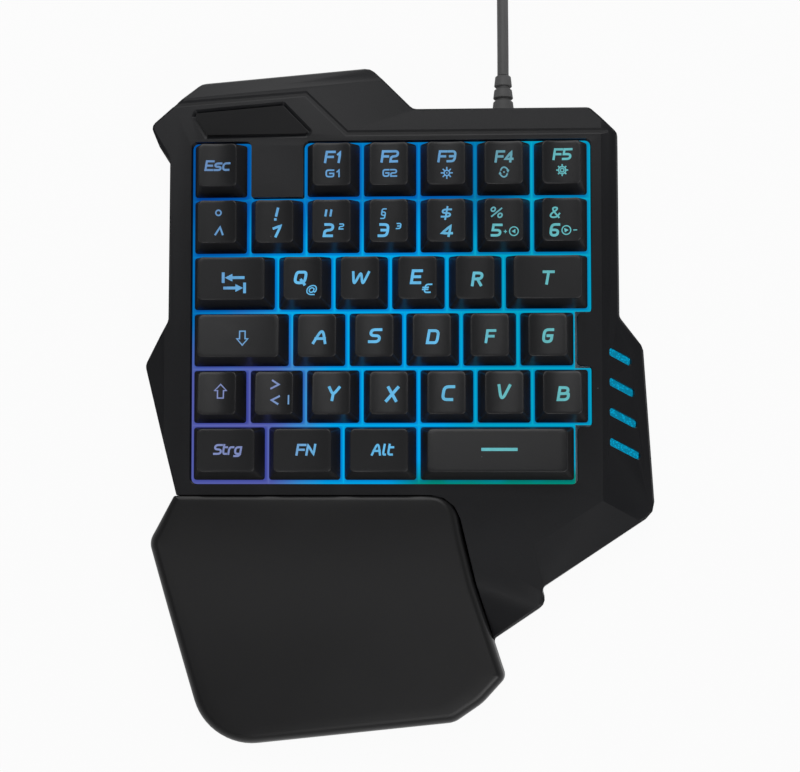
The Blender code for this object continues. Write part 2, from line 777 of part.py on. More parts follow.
def slot_outlines(shrink):
    """The four lit slots, as outlines on the right wing's slope."""
    outlines = []
    for k in range(SLOT_COUNT):
        x0 = SLOT_START + shrink
        x1 = SLOT_START + SLOT_FIRST_LENGTH + k * SLOT_GROWTH - shrink
        top = -SLOT_FIRST_SHARE * FIELD_DEPTH - k * SLOT_PITCH
        skew = SLOT_SKEW_SHARE * (x1 - x0)
        high, low = top - shrink, top - SLOT_HEIGHT + shrink
        outlines.append([(x0, low), (x1, low - skew), (x1, high - skew), (x0, high)])
    return outlines


def make_top_shell(case_frame, deck_frame, wing_frame):
    """Upper case half: deck, wings, window, groove, badge recess, slots and the hole for the cable."""
    outside = break_edges(upper_solid(0.0, 0.0), EDGE_BREAK)
    shell = piece("top_shell", outside, "case_plastic", case_frame)
    combine(shell, cutter("facet_cut", facet_wedge(0.0), case_frame))
    combine(shell, cutter("left_wing_cut", left_wing_wedge(0.0), case_frame))
    hollow = cutter("upper_hollow", upper_solid(CASE_WALL, CASE_WALL), case_frame)
    combine(hollow, cutter("facet_hollow_cut", facet_wedge(CASE_WALL), case_frame))
    combine(hollow, cutter("left_wing_hollow_cut", left_wing_wedge(CASE_WALL), case_frame))
    combine(hollow, cutter("palm_wall_cut", palm_gap_prism(GAP + CASE_WALL), case_frame))
    rim = prism(rounded(window_corners(RIM_WIDTH)), plate_top() + GAP, OVERRUN)
    combine(hollow, cutter("window_rim", rim, deck_frame))
    post_top = PARTING_HEIGHT + POST_GAP_HEIGHT
    bosses = boss_posts("top", POST_GAP_HEIGHT + GAP, post_top + BLOCK_RISE, BOSS_RADIUS)
    combine(hollow, cutter("top_bosses", bosses, case_frame))
    combine(shell, hollow)
    combine(shell, cutter("palm_space", palm_gap_prism(GAP), case_frame))
    window = prism(rounded(window_corners()), plate_top(), OVERRUN)
    combine(shell, cutter("window_cut", window, deck_frame))
    groove = flared(groove_points(GROOVE_FLOOR), groove_points(GROOVE_WIDTH), GROOVE_DEPTH)
    combine(shell, cutter("groove_cut", groove, deck_frame))
    recess = flared(rounded(badge_corners(BADGE_BEVEL)), rounded(badge_corners()), BADGE_RECESS_DEPTH)
    combine(shell, cutter("badge_cut", recess, deck_frame))
    slots = bmesh.new()
    for outline in slot_outlines(0.0):
        points = rounded([(x, y, SLOT_ROUND) for x, y in outline])
        join_into(slots, prism(points, -CASE_WALL - OVERRUN, OVERRUN))
    combine(shell, cutter("slot_cuts", slots, wing_frame))
    bores = boss_posts("top", 0.0, screw_reach() + GAP, SCREW_BORE_RADIUS)
    combine(shell, cutter("top_boss_bores", bores, case_frame))
    hole = turned([(0.0, RELIEF_NECK_RADIUS + GAP), (WALL_REAR, RELIEF_NECK_RADIUS + GAP)], RELIEF_SIDES)
    combine(shell, cutter("cable_hole", hole, case_frame, (relief_x(), WALL_REAR / 2, RELIEF_HEIGHT)))
    return shell


def screw_reach():
    """Height of the screws' ends."""
    return SCREW_SEAT_HEIGHT - GAP + SCREW_LENGTH


def make_bottom_shell(case_frame, deck_frame):
    """Lower case half: a tray with screw posts, supports for the light guide, and seats for the feet."""
    corners = case_corners()
    floor_top = FOOT_STAND + FLOOR_THICKNESS
    rim = PARTING_HEIGHT - GAP
    outer_low = rounded(inset_corners(corners, FLOOR_BEVEL))
    outer_mid = rounded(inset_corners(corners, FLOOR_BEVEL - FLOOR_THICKNESS))
    outer_rim = rounded(corners)
    inner_rim = rounded(inset_corners(corners, CASE_WALL))
    inner_low = rounded(inset_corners(corners, CASE_WALL + GAP))
    bm = loft(
        [
            (outer_low, FOOT_STAND),
            (outer_mid, floor_top),
            (outer_rim, rim),
            (inner_rim, rim),
            (inner_low, floor_top),
        ]
    )
    shell = piece("bottom_shell", bm, "case_plastic", case_frame)
    posts = boss_posts("all", FOOT_STAND + GAP, POST_GAP_HEIGHT, POST_RADIUS)
    combine(shell, cutter("screw_posts", posts, case_frame), "UNION")
    supports = support_posts()
    combine(shell, cutter("support_posts", supports, case_frame), "UNION")
    seats = boss_posts("all", -OVERRUN, SCREW_SEAT_HEIGHT, SCREW_HEAD_RADIUS + GAP)
    combine(shell, cutter("screw_seats", seats, case_frame))
    holes = boss_posts("all", 0.0, POST_GAP_HEIGHT + OVERRUN, SCREW_BORE_RADIUS)
    combine(shell, cutter("screw_holes", holes, case_frame))
    pockets = bmesh.new()
    for place in FOOT_SPOT_SHARES.values():
        join_into(pockets, tube(FOOT_RADIUS + GAP, -OVERRUN, FOOT_STAND + FOOT_SINK + GAP, spot(*place)))
    combine(shell, cutter("foot_pockets", pockets, case_frame))
    return shell


def support_posts():
    """Square posts under the light guide and two pillars under the board."""
    bm = bmesh.new()
    foot = FOOT_STAND + GAP
    top = DECK_REAR_HEIGHT
    for across, along in SUPPORT_SHARES:
        centre = (across * FIELD_WIDTH, along * FIELD_DEPTH, (foot + top) / 2)
        join_into(bm, box((SUPPORT_SIDE, SUPPORT_SIDE, top - foot), centre))
    slice_above(bm, *deck_plane((0.0, 0.0, guide_bottom() - GAP), (0.0, 0.0, 1.0)))
    pillar = board_height() - GAP
    x, y = board_centre()
    for side in (-1, 1):
        centre = (x + side * BOARD_PILLAR_SHARE * BOARD_WIDTH, y, (foot + pillar) / 2)
        join_into(bm, box((SUPPORT_SIDE, SUPPORT_SIDE, pillar - foot), centre))
    return bm


def palm_surface(x, y):
    """Height of the palm rest's top: a crown just in front of its rear edge, falling to the front."""
    palm_rear = -FIELD_DEPTH - PALM_SETBACK
    share = min(max((palm_rear - y) / PALM_DEPTH, 0.0), 1.0)
    rear = DECK_REAR_HEIGHT + palm_rear * math.tan(math.radians(DECK_SLOPE_DEG)) + PALM_REAR_LIFT
    middle = PALM_WIDTH / 2 - PALM_REACH_LEFT
    aside = (x - middle) / (PALM_WIDTH / 2)
    crown = PALM_CROWN * math.sin(math.pi * share ** PALM_CROWN_SHIFT_SHARE)
    crown *= 1.0 - PALM_CROWN_FADE_SHARE * aside ** 2
    return rear + (PALM_FRONT_HEIGHT - rear) * share + crown


def toward_rear(points, shift):
    """Move the rear edge of a loop of the palm rest back, and what lies in front of it less and less."""
    front = -FIELD_DEPTH - PALM_SETBACK - PALM_REAR_BLEND
    return [(x, y + shift * max(y - front, 0.0) / PALM_REAR_BLEND) for x, y in points]


def palm_loops(corners, inset, sink):
    """Loops over one face of the palm rest, from its rounded edge to its middle, as (points, heights)."""
    lean = (PALM_FRONT_HEIGHT - PARTING_HEIGHT) * math.tan(math.radians(CASE_DRAFT_DEG))
    loops = []
    for share in PALM_RING_SHARES:
        drop = PALM_EDGE_ROUND * (1.0 - math.sqrt(1.0 - (1.0 - share) ** 2)) + sink
        points = rounded(inset_corners(corners, inset + lean + share * PALM_EDGE_ROUND))
        points = toward_rear(points, lean + share * (PALM_EDGE_ROUND - PALM_REAR_ROUND))
        loops.append((points, [palm_surface(x, y) - drop for x, y in points]))
    edge = loops[-1][0]
    middle_x = sum(x for x, _ in edge) / len(edge)
    middle_y = sum(y for _, y in edge) / len(edge)
    for share in PALM_INNER_RING_SHARES:
        points = [(x + (middle_x - x) * share, y + (middle_y - y) * share) for x, y in edge]
        loops.append((points, [palm_surface(x, y) - sink for x, y in points]))
    return loops


def make_palm_rest(case_frame):
    """Palm rest: a crowned shell with a rolled edge and a boss for its screw."""
    corners = palm_corners()
    bm = bmesh.new()
    base = ring(bm, rounded(corners), PARTING_HEIGHT)
    inner_base = ring(bm, rounded(inset_corners(corners, PALM_WALL)), PARTING_HEIGHT)
    outer = [base] + [ring(bm, points, heights) for points, heights in palm_loops(corners, 0.0, 0.0)]
    inner = [inner_base]
    inner += [ring(bm, points, heights) for points, heights in palm_loops(corners, PALM_WALL, PALM_WALL)]
    for low, high in zip(outer, outer[1:]):
        bridge(bm, low, high)
    for low, high in zip(inner, inner[1:]):
        bridge(bm, high, low)
    fill_top(bm, outer[-1], 0.0)
    fill_top(bm, inner[-1], PALM_WALL)
    bridge(bm, inner_base, base)
    rest = piece("palm_rest", bm, "palm_plastic", case_frame)
    x, y = spot(*SCREW_SPOT_SHARES["screw_palm"])
    boss = tube(BOSS_RADIUS, POST_GAP_HEIGHT + GAP, palm_surface(x, y) - PALM_WALL / 2, (x, y))
    combine(rest, cutter("palm_boss", boss, case_frame), "UNION")
    bore = tube(SCREW_BORE_RADIUS, 0.0, screw_reach() + GAP, (x, y))
    combine(rest, cutter("palm_boss_bore", bore, case_frame))
    return rest


def fill_top(bm, loop, sink):
    """Close a loop of the palm rest with a fan round its middle."""
    x = sum(v.co.x for v in loop) / len(loop)
    y = sum(v.co.y for v in loop) / len(loop)
    centre = bm.verts.new((x, y, palm_surface(x, y) - sink))
    for i, vert in enumerate(loop):
        bm.faces.new((vert, loop[(i + 1) % len(loop)], centre))


# Keys


def key_places():
    """Name, width and centre in deck coordinates of every key."""
    places = []
    for row, keys in enumerate(KEY_ROWS):
        start = 0.0
        for name, units in keys:
            if name:
                places.append((name, units, ((start + units / 2) * KEY_PITCH, -(row + 0.5) * KEY_PITCH)))
            start += units
    return places


def cap_loop(x0, x1, y0, y1, radius, columns=3):
    """Points round a cap, column by column, so that front and rear match."""
    nearly = radius * (1.0 - math.cos(math.pi / 4))
    inner = [x0 + radius + (x1 - x0 - 2 * radius) * (k + 1) / (columns + 1) for k in range(columns)]
    xs = [x0, x0 + nearly, x0 + radius] + inner + [x1 - radius, x1 - nearly, x1]
    into = [radius, nearly, 0.0] + [0.0] * columns + [0.0, nearly, radius]
    front = [(x, y0 + step) for x, step in zip(xs, into)]
    rear = [(x, y1 - step) for x, step in zip(xs, into)]
    return front + rear[::-1]


def cap_limits(width, share, inset):
    """Sides of a cap at a share of its height, moved in by an amount."""
    half = width / 2 - share * CAP_SIDE_TAPER - inset
    deep = (KEY_PITCH - KEY_GAP) / 2
    return -half, half, -deep + share * CAP_FRONT_TAPER + inset, deep - share * CAP_REAR_TAPER - inset


def keycap(width, dish):
    """One keycap: a hollow tapered shell with a dished top and a square stem."""
    bm = bmesh.new()
    height = CAP_HEIGHT + CAP_DROP
    bottom_points = cap_loop(*cap_limits(width, 0.0, 0.0), CAP_SKIRT_ROUND)
    top_points = cap_loop(*cap_limits(width, 1.0, 0.0), CAP_TOP_ROUND)
    half = width / 2 - CAP_SIDE_TAPER
    bottom = ring(bm, bottom_points, -CAP_DROP)
    top = ring(bm, top_points, [CAP_HEIGHT - dish * (1.0 - (x / half) ** 2) for x, _ in top_points])
    bridge(bm, bottom, top)
    columns = len(top) // 2
    for i in range(columns - 1):
        bm.faces.new((top[i], top[i + 1], top[-2 - i], top[-1 - i]))
    ceiling = CAP_HEIGHT - max(dish, 0.0) - CAP_ROOF
    share = (ceiling + CAP_DROP) / height
    inner_low = ring(bm, chamfered(cap_limits(width, 0.0, CAP_WALL), CAP_SKIRT_ROUND), -CAP_DROP)
    inner_high = ring(bm, chamfered(cap_limits(width, share, CAP_WALL), CAP_SKIRT_ROUND), ceiling)
    bridge(bm, inner_high, inner_low)
    fill_between(bm, bottom, inner_low)
    stem = STEM_SIDE / 2
    square = [(-stem, -stem), (stem, -stem), (stem, stem), (-stem, stem)]
    stem_high = ring(bm, square, ceiling)
    stem_low = ring(bm, square, -STEM_REACH)
    fill_between(bm, inner_high, stem_high)
    bridge(bm, stem_low, stem_high)
    bm.faces.new(stem_low)
    return bm


def chamfered(limits, cut):
    """A rectangle with its corners cut."""
    x0, x1, y0, y1 = limits
    return [
        (x0 + cut, y0),
        (x1 - cut, y0),
        (x1, y0 + cut),
        (x1, y1 - cut),
        (x1 - cut, y1),
        (x0 + cut, y1),
        (x0, y1 - cut),
        (x0, y0 + cut),
    ]


def make_keys(deck_frame):
    """All the keys, each with its origin on its line of travel. Equal caps share one mesh."""
    meshes = {}
    for name, units, (x, y) in key_places():
        if units not in meshes:
            width = units * KEY_PITCH - KEY_GAP
            bm = keycap(width, -SPACE_CROWN if name == "space" else CAP_DISH)
            bmesh.ops.recalc_face_normals(bm, faces=bm.faces)
            mesh = bpy.data.meshes.new("keycap_" + str(round(units, 2)))
            bm.to_mesh(mesh)
            bm.free()
            mesh.materials.append(material("keycap_plastic"))
            meshes[units] = mesh
        key = place_mesh("key_" + name, meshes[units], deck_frame, (x, y, 0.0))
        if name == "space":
            add_wire_hooks(key, deck_frame, (x, y, 0.0))


def wire_pin_y():
    """Distance of the wire's pins behind the middle of the space bar, at rest."""
    return math.sqrt(WIRE_ARM ** 2 - (WIRE_PIN_HEIGHT - wire_bar_height()) ** 2) - WIRE_BAR_OFFSET


def wire_bar_height():
    """Height of the wire's hinge bar, just over the guide plate."""
    return plate_top() + GAP + WIRE_RADIUS


def add_wire_hooks(key, deck_frame, place):
    """Two posts under the space bar, each with a long slot for the wire's tip."""
    slot_length = 2 * (WIRE_RADIUS + GAP) + WIRE_PIN_SHIFT
    slot_height = 2 * (WIRE_RADIUS + GAP)
    middle = wire_pin_y() + WIRE_PIN_SHIFT / 2
    roof = CAP_HEIGHT - CAP_ROOF / 2
    low = WIRE_PIN_HEIGHT - slot_height / 2 - HOOK_WALL
    posts, slots = bmesh.new(), bmesh.new()
    for side in (-1, 1):
        x = side * (WIRE_SPREAD / 2 + WIRE_RADIUS + GAP + HOOK_WIDTH / 2)
        size = (HOOK_WIDTH, slot_length + 2 * HOOK_WALL, roof - low)
        join_into(posts, box(size, (x, middle, (roof + low) / 2)))
        size = (HOOK_WIDTH + GAP, slot_length, slot_height)
        join_into(slots, box(size, (x, middle, WIRE_PIN_HEIGHT)))
    combine(key, cutter("hook_posts", posts, deck_frame, place), "UNION")
    combine(key, cutter("hook_slots", slots, deck_frame, place))


def swept_wire(path, radius, sides):
    """A round wire through a path of points, mitred at its bends."""
    bm = bmesh.new()
    loops = []
    up = Vector((0.0, 0.0, 1.0))
    for i, point in enumerate(path):
        before = (point - path[i - 1]).normalized() if i else (path[1] - point).normalized()
        after = (path[i + 1] - point).normalized() if i + 1 < len(path) else before
        along = (before + after).normalized()
        half = math.acos(min(1.0, max(-1.0, before.dot(after)))) / 2
        side = before.cross(after)
        if half < BEND_LEAST:
            side = along.cross(up)
        side.normalize()
        other = along.cross(side)
        loop = []
        for k in range(sides):
            angle = 2 * math.pi * k / sides
            reach = side * math.cos(angle) + other * math.sin(angle) / math.cos(half)
            loop.append(bm.verts.new(point + reach * radius))
        loops.append(loop)
    for low, high in zip(loops, loops[1:]):
        match_and_bridge(bm, low, high)
    bm.faces.new(loops[0])
    bm.faces.new(loops[-1])
    return bm


def match_and_bridge(bm, low, high):
    """Join two loops, starting from the pair of vertices that face each other best."""
    count = len(low)
    middle_low = sum((v.co for v in low), Vector()) / count
    middle_high = sum((v.co for v in high), Vector()) / count
    shift = middle_high - middle_low
    best = None
    for order in (1, -1):
        for start in range(count):
            total = sum(
                (high[(start + order * i) % count].co - low[i].co - shift).length for i in range(count)
            )
            if best is None or total < best[0]:
                best = (total, start, order)
    _, start, order = best
    for i in range(count):
        j = (i + 1) % count
        bm.faces.new((low[i], low[j], high[(start + order * j) % count], high[(start + order * i) % count]))


def make_space_wire(deck_frame):
    """The wire under the space bar, with its origin on its hinge bar."""
    x, y = next(place for name, _, place in key_places() if name == "space")
    half = WIRE_SPREAD / 2
    rise = WIRE_PIN_HEIGHT - wire_bar_height()
    reach = wire_pin_y() + WIRE_BAR_OFFSET
    tip = half + GAP + HOOK_WIDTH + WIRE_RADIUS
    bend = WIRE_RADIUS
    path = []
    for side in (-1, 1):
        arm = Vector((side * half, reach, rise))
        root = Vector((side * half, 0.0, 0.0))
        along = (root - arm).normalized()
        part = [
            Vector((side * tip, reach, rise)),
            Vector((side * (half + bend), reach, rise)),
            arm + along * bend,
            root - along * bend,
            Vector((side * (half - bend), 0.0, 0.0)),
        ]
        path += part if side < 0 else part[::-1]
    bm = swept_wire(path, WIRE_RADIUS, WIRE_SIDES)
    place = (x, y - WIRE_BAR_OFFSET, wire_bar_height())
    return piece("space_bar_wire", bm, "spring_steel", deck_frame, place)


# Sheets under the keys


def plate_top():
    """Height of the guide plate's top, which a fully pressed cap stays clear of, in deck coordinates."""
    return -CAP_DROP - KEY_TRAVEL - PLATE_CLEARANCE


def chimney_top():
    """Height of the chimneys, which stay clear of a pressed cap's ceiling."""
    return CAP_HEIGHT - CAP_DISH - CAP_ROOF - KEY_TRAVEL - CHIMNEY_CLEARANCE


def sheet_top():
    """Height of the dome sheet's top."""
    return plate_top() - PLATE_THICKNESS - GAP


def membrane_top():
    """Height of the membrane's top."""
    return sheet_top() - SHEET_THICKNESS - GAP


def guide_top():
    """Height of the light guide's top."""
    return membrane_top() - MEMBRANE_THICKNESS - GAP


def guide_bottom():
    """Height of the light guide's underside."""
    return guide_top() - LIGHT_GUIDE_THICKNESS


def stack_corners():
    """Outline that the plate and the sheets under it share."""
    return rectangle(
        -PLATE_MARGIN,
        FIELD_WIDTH + PLATE_MARGIN,
        -FIELD_DEPTH - PLATE_FRONT_MARGIN,
        PLATE_MARGIN,
        SHEET_ROUND,
    )


def square_points(centre, side):
    """Corners of a square round a key's centre."""
    x, y = centre
    half = side / 2
    return [(x - half, y - half), (x + half, y - half), (x + half, y + half), (x - half, y + half)]


def make_guide_plate(deck_frame):
    """Translucent plate with a square chimney for each stem, which also spreads the light."""
    bm = bmesh.new()
    top, low = plate_top(), plate_top() - PLATE_THICKNESS
    outline = rounded(stack_corners())
    upper, under = ring(bm, outline, top), ring(bm, outline, low)
    bridge(bm, under, upper)
    bore_side = STEM_SIDE + 2 * STEM_CLEARANCE
    upper_loops, under_loops = [upper], [under]
    for _, _, centre in key_places():
        outer = square_points(centre, bore_side + 2 * CHIMNEY_WALL)
        inner = square_points(centre, bore_side)
        outer_low, outer_high = ring(bm, outer, top), ring(bm, outer, chimney_top())
        inner_high, inner_low = ring(bm, inner, chimney_top()), ring(bm, inner, low)
        bridge(bm, outer_low, outer_high)
        bridge(bm, outer_high, inner_high)
        bridge(bm, inner_high, inner_low)
        upper_loops.append(outer_low)
        under_loops.append(inner_low)
    fill_between(bm, *upper_loops)
    fill_between(bm, *under_loops)
    plate = piece("key_guide_plate", bm, "diffuser_plastic", deck_frame)
    add_wire_clips(plate, deck_frame)
    return plate


def add_wire_clips(plate, deck_frame):
    """Two open clips on the plate that hold the wire's hinge bar."""
    x, y = next(place for name, _, place in key_places() if name == "space")
    bar_y = y - WIRE_BAR_OFFSET
    slot = WIRE_RADIUS + GAP
    blocks, slots = bmesh.new(), bmesh.new()
    low = plate_top() - PLATE_THICKNESS / 2
    high = wire_bar_height() + slot + CLIP_WALL
    front = WIRE_RADIUS
    rear = slot + CLIP_WALL
    for side in (-1, 1):
        cx = x + side * CLIP_SPACING / 2
        size = (HOOK_WIDTH, front + rear, high - low)
        join_into(blocks, box(size, (cx, bar_y + (rear - front) / 2, (high + low) / 2)))
        size = (HOOK_WIDTH + GAP, slot * 2 + GAP, slot * 2)
        join_into(slots, box(size, (cx, bar_y - GAP / 2, wire_bar_height())))
    combine(plate, cutter("wire_clips", blocks, deck_frame), "UNION")
    combine(plate, cutter("wire_clip_slots", slots, deck_frame))


def make_dome_sheet(deck_frame):
    """Rubber sheet with a collapsing dome under each stem."""
    bm = bmesh.new()
    top, low = sheet_top(), sheet_top() - SHEET_THICKNESS
    dome_top = -STEM_REACH - GAP
    outline = rounded(stack_corners())
    upper, under = ring(bm, outline, top), ring(bm, outline, low)
    bridge(bm, under, upper)
    upper_loops, under_loops = [upper], [under]
    for _, _, centre in key_places():
        outer_low = ring(bm, circle(DOME_BASE_RADIUS, DOME_SIDES, centre), top)
        outer_high = ring(bm, circle(DOME_TOP_RADIUS, DOME_SIDES, centre), dome_top)
        inner_low = ring(bm, circle(DOME_BASE_RADIUS - DOME_WALL, DOME_SIDES, centre), low)
        inner_high = ring(bm, circle(DOME_TOP_RADIUS - DOME_WALL, DOME_SIDES, centre), dome_top - DOME_WALL)
        bridge(bm, outer_low, outer_high)
        bm.faces.new(outer_high)
        bridge(bm, inner_high, inner_low)
        bm.faces.new(inner_high)
        upper_loops.append(outer_low)
        under_loops.append(inner_low)
    fill_between(bm, *upper_loops)
    fill_between(bm, *under_loops)
    return piece("dome_sheet", bm, "dome_rubber", deck_frame)


def make_flat_sheets(deck_frame):
    """Membrane with its tail, and the light guide under it."""
    rear = PLATE_MARGIN
    tail = MEMBRANE_TAIL_SHARE * FIELD_WIDTH
    half = MEMBRANE_TAIL_WIDTH / 2
    corners = stack_corners()
    with_tail = corners[:3] + [
        (tail + half, rear, SHARP_ROUND / 2),
        (tail + half, rear + MEMBRANE_TAIL_LENGTH, SHARP_ROUND),
        (tail - half, rear + MEMBRANE_TAIL_LENGTH, SHARP_ROUND),
        (tail - half, rear, SHARP_ROUND / 2),
        corners[3],
    ]
    film = prism(rounded(with_tail), membrane_top() - MEMBRANE_THICKNESS, membrane_top())
    piece("membrane", film, "membrane_film", deck_frame)
    guide = prism(rounded(corners), guide_bottom(), guide_top())
    piece("light_guide_sheet", guide, "clear_acrylic", deck_frame)


# Trim and small pieces


def make_badge(deck_frame):
    """Bare badge plate in its recess."""
    low = -BADGE_RECESS_DEPTH + GAP
    bm = prism(rounded(badge_corners(BADGE_BEVEL + GAP)), low, low + BADGE_THICKNESS)
    return piece("badge_plate", bm, "badge_plastic", deck_frame)


def make_side_lens(wing_frame):
    """Lens for the lit slots: four bars on one backing."""
    bars = slot_outlines(GAP)
    backing_top = -CASE_WALL - GAP
    first, last = bars[0], bars[-1]
    corners = [
        (first[0][0] - LENS_BORDER, first[3][1] + LENS_BORDER, SHARP_ROUND / 2),
        (last[0][0] - LENS_BORDER, last[1][1] - LENS_BORDER, SHARP_ROUND / 2),
        (last[1][0], last[1][1] - LENS_BORDER, SHARP_ROUND / 2),
        (first[1][0], first[2][1] + LENS_BORDER, SHARP_ROUND / 2),
    ]
    backing = prism(rounded(corners), backing_top - LENS_BACKING, backing_top)
    lens = piece("side_light_lens", backing, "diffuser_plastic", wing_frame)
    raised = bmesh.new()
    for outline in bars:
        inner = [(x - GAP / 3 if x > SLOT_START * 2 else x, y, SLOT_ROUND - GAP) for x, y in outline]
        join_into(raised, prism(rounded(inner), backing_top - LENS_BACKING / 2, -LENS_SINK))
    combine(lens, cutter("lens_bars", raised, wing_frame), "UNION")
    return lens


def board_centre():
    """Middle of the controller board in the case frame."""
    across, along = BOARD_SHARES
    return across * FIELD_WIDTH, along * FIELD_DEPTH


def board_height():
    """Underside of the board, between the floor and the light guide over its front edge."""
    _, y = board_centre()
    edge, _ = deck_plane((0.0, y - BOARD_DEPTH / 2, guide_bottom()), (0.0, 0.0, 1.0))
    floor_top = FOOT_STAND + FLOOR_THICKNESS
    return floor_top + (edge.z - floor_top - 2 * BOARD_THICKNESS) * BOARD_LIFT_SHARE


def make_board(case_frame):
    """Controller board on its pillars, with its main chip and a socket for the cable."""
    x, y = board_centre()
    low = board_height()
    top = low + BOARD_THICKNESS
    plate = box((BOARD_WIDTH, BOARD_DEPTH, BOARD_THICKNESS), (x, y, low + BOARD_THICKNESS / 2))
    board = piece("circuit_board", plate, "board_laminate", case_frame)
    chip = BOARD_DEPTH / 3
    parts = box((chip, chip, BOARD_THICKNESS), (x - chip, y, top))
    socket = BOARD_DEPTH / 4
    socket_place = (x + BOARD_WIDTH / 4, y + BOARD_DEPTH / 2 - socket, top)
    join_into(parts, box((socket * 2, socket, 2 * BOARD_THICKNESS), socket_place))
    combine(board, cutter("board_parts", parts, case_frame), "UNION")
    return board


def make_feet_and_screws(case_frame):
    """Rubber feet in their pockets, and the screws from below."""
    for name, place in FOOT_SPOT_SHARES.items():
        rim = FOOT_SINK / 2
        bm = loft(
            [
                (circle(FOOT_RADIUS - rim, ROUND_SIDES), 0.0),
                (circle(FOOT_RADIUS, ROUND_SIDES), rim),
                (circle(FOOT_RADIUS, ROUND_SIDES), FOOT_STAND + FOOT_SINK),
            ]
        )
        piece(name, bm, "foot_rubber", case_frame, (*spot(*place), 0.0))
    head_top = SCREW_SEAT_HEIGHT - GAP
    shank = SCREW_BORE_RADIUS - GAP
    for name, place in SCREW_SPOT_SHARES.items():
        bm = loft(
            [
                (circle(SCREW_HEAD_RADIUS, ROUND_SIDES), head_top - SCREW_HEAD_HEIGHT),
                (circle(SCREW_HEAD_RADIUS, ROUND_SIDES), head_top),
                (circle(shank, ROUND_SIDES), head_top),
                (circle(shank, ROUND_SIDES), screw_reach() - shank),
                (circle(shank / 3, ROUND_SIDES), screw_reach()),
            ]
        )
        piece(name, bm, "screw_steel", case_frame, (*spot(*place), 0.0))


# Cable


def relief_x():
    """The cable's place across the case."""
    return RELIEF_SHARE * FIELD_WIDTH


def turned(profile, sides):
    """A solid of revolution about Y through (y, radius) pairs, with flat ends."""
    bm = bmesh.new()
    loops = []
    for y, radius in profile:
        loops.append([bm.verts.new((px, y, pz)) for px, pz in circle(radius, sides)])
    for low, high in zip(loops, loops[1:]):
        bridge(bm, low, high)
    bm.faces.new(loops[0])
    bm.faces.new(loops[-1])
    return bm


def wall_lean():
    """How far the drafted rear wall leans over the height of the strain relief's flange."""
    return RELIEF_FLANGE_RADIUS * math.tan(math.radians(CASE_DRAFT_DEG))


def relief_wall_y():
    """Outer face of the rear wall at the cable's height."""
    return WALL_REAR - (RELIEF_HEIGHT - PARTING_HEIGHT) * math.tan(math.radians(CASE_DRAFT_DEG))


def relief_tip_y():
    """End of the strain relief, where the free cord starts."""
    return relief_wall_y() + wall_lean() + GAP + RELIEF_LENGTH


def make_strain_relief(case_frame):
    """Moulded strain relief: a flange inside the wall, a neck through it and a ribbed taper outside."""
    wall = relief_wall_y()
    inside = wall - CASE_WALL - wall_lean() - GAP
    outside = wall + wall_lean() + GAP
    profile = [
        (inside - RELIEF_FLANGE, RELIEF_FLANGE_RADIUS),
        (inside, RELIEF_FLANGE_RADIUS),
        (inside, RELIEF_NECK_RADIUS),
        (outside, RELIEF_NECK_RADIUS),
        (outside, RELIEF_BASE_RADIUS),
    ]
    rib = RELIEF_LENGTH / RELIEF_RIBS
    for k in range(1, RELIEF_RIBS):
        y = outside + k * rib
        radius = RELIEF_BASE_RADIUS + (RELIEF_TIP_RADIUS - RELIEF_BASE_RADIUS) * k / RELIEF_RIBS
        profile += [
            (y - RELIEF_RIB_GAP / 2, radius),
            (y - RELIEF_RIB_GAP / 2, radius - RELIEF_RIB_DEPTH),
            (y + RELIEF_RIB_GAP / 2, radius - RELIEF_RIB_DEPTH),
            (y + RELIEF_RIB_GAP / 2, radius),
        ]
    profile.append((outside + RELIEF_LENGTH, RELIEF_TIP_RADIUS))
    bm = turned(profile, RELIEF_SIDES)
    return piece("strain_relief", bm, "cord_jacket", case_frame, (relief_x(), 0.0, RELIEF_HEIGHT))


def coil_outer_radius():
    """Radius of the coil's outermost loop."""
    return COIL_INNER_RADIUS + COIL_STEP * COIL_TURNS / 2


def coil_centre():
    """Middle of the coil on the desk, in the case frame."""
    radius = coil_outer_radius()
    return relief_x() - radius, WALL_REAR + COIL_BEHIND + radius - CORD_DIAMETER


def smooth(share):
    """An S-shaped ramp from 0 to 1."""
    share = min(max(share, 0.0), 1.0)
    return share * share * (3.0 - 2.0 * share)


def run_points():
    """Route of the free cord from the strain relief down to the desk and on to the coil."""
    start = relief_tip_y() + GAP
    _, end = coil_centre()
    end -= GAP
    rest = CORD_DIAMETER / 2
    count = max(4, round((end - start) / CORD_POINT_SPACING))
    straight = CORD_DIAMETER
    points = []
    for k in range(count + 1):
        y = start + (end - start) * k / count
        fall = smooth((y - start - straight) / CORD_FALL)
        points.append((relief_x(), y, RELIEF_HEIGHT + (rest - RELIEF_HEIGHT) * fall))
    return points


def coil_points():
    """Route of the coiled cord: in on the desk, up where the spiral turns back, out on top, to the plug."""
    cx, cy = coil_centre()
    outer = coil_outer_radius()
    half = COIL_TURNS / 2
    steps = round(COIL_TURNS * COIL_LOOP_POINTS)
    rest = CORD_DIAMETER / 2
    points = [(cx + outer, cy, rest)]
    for k in range(1, steps + 1):
        turns = k / COIL_LOOP_POINTS
        radius = COIL_INNER_RADIUS + COIL_STEP * abs(turns - half)
        climb = smooth((turns - half) / COIL_CLIMB_TURNS + 0.5)
        angle = 2 * math.pi * turns
        x, y = cx + radius * math.cos(angle), cy + radius * math.sin(angle)
        points.append((x, y, rest + COIL_LAYER_STEP * climb))
    x, y, z = points[-1]
    plug_axis = PLUG_HEIGHT / 2
    for k in range(1, TAIL_STEPS + 1):
        share = k / TAIL_STEPS
        points.append((x - TAIL_RUN * share, y, z + (plug_axis - z) * smooth(share)))
    points.append((x - TAIL_RUN - TAIL_STRAIGHT, y, plug_axis))
    return points


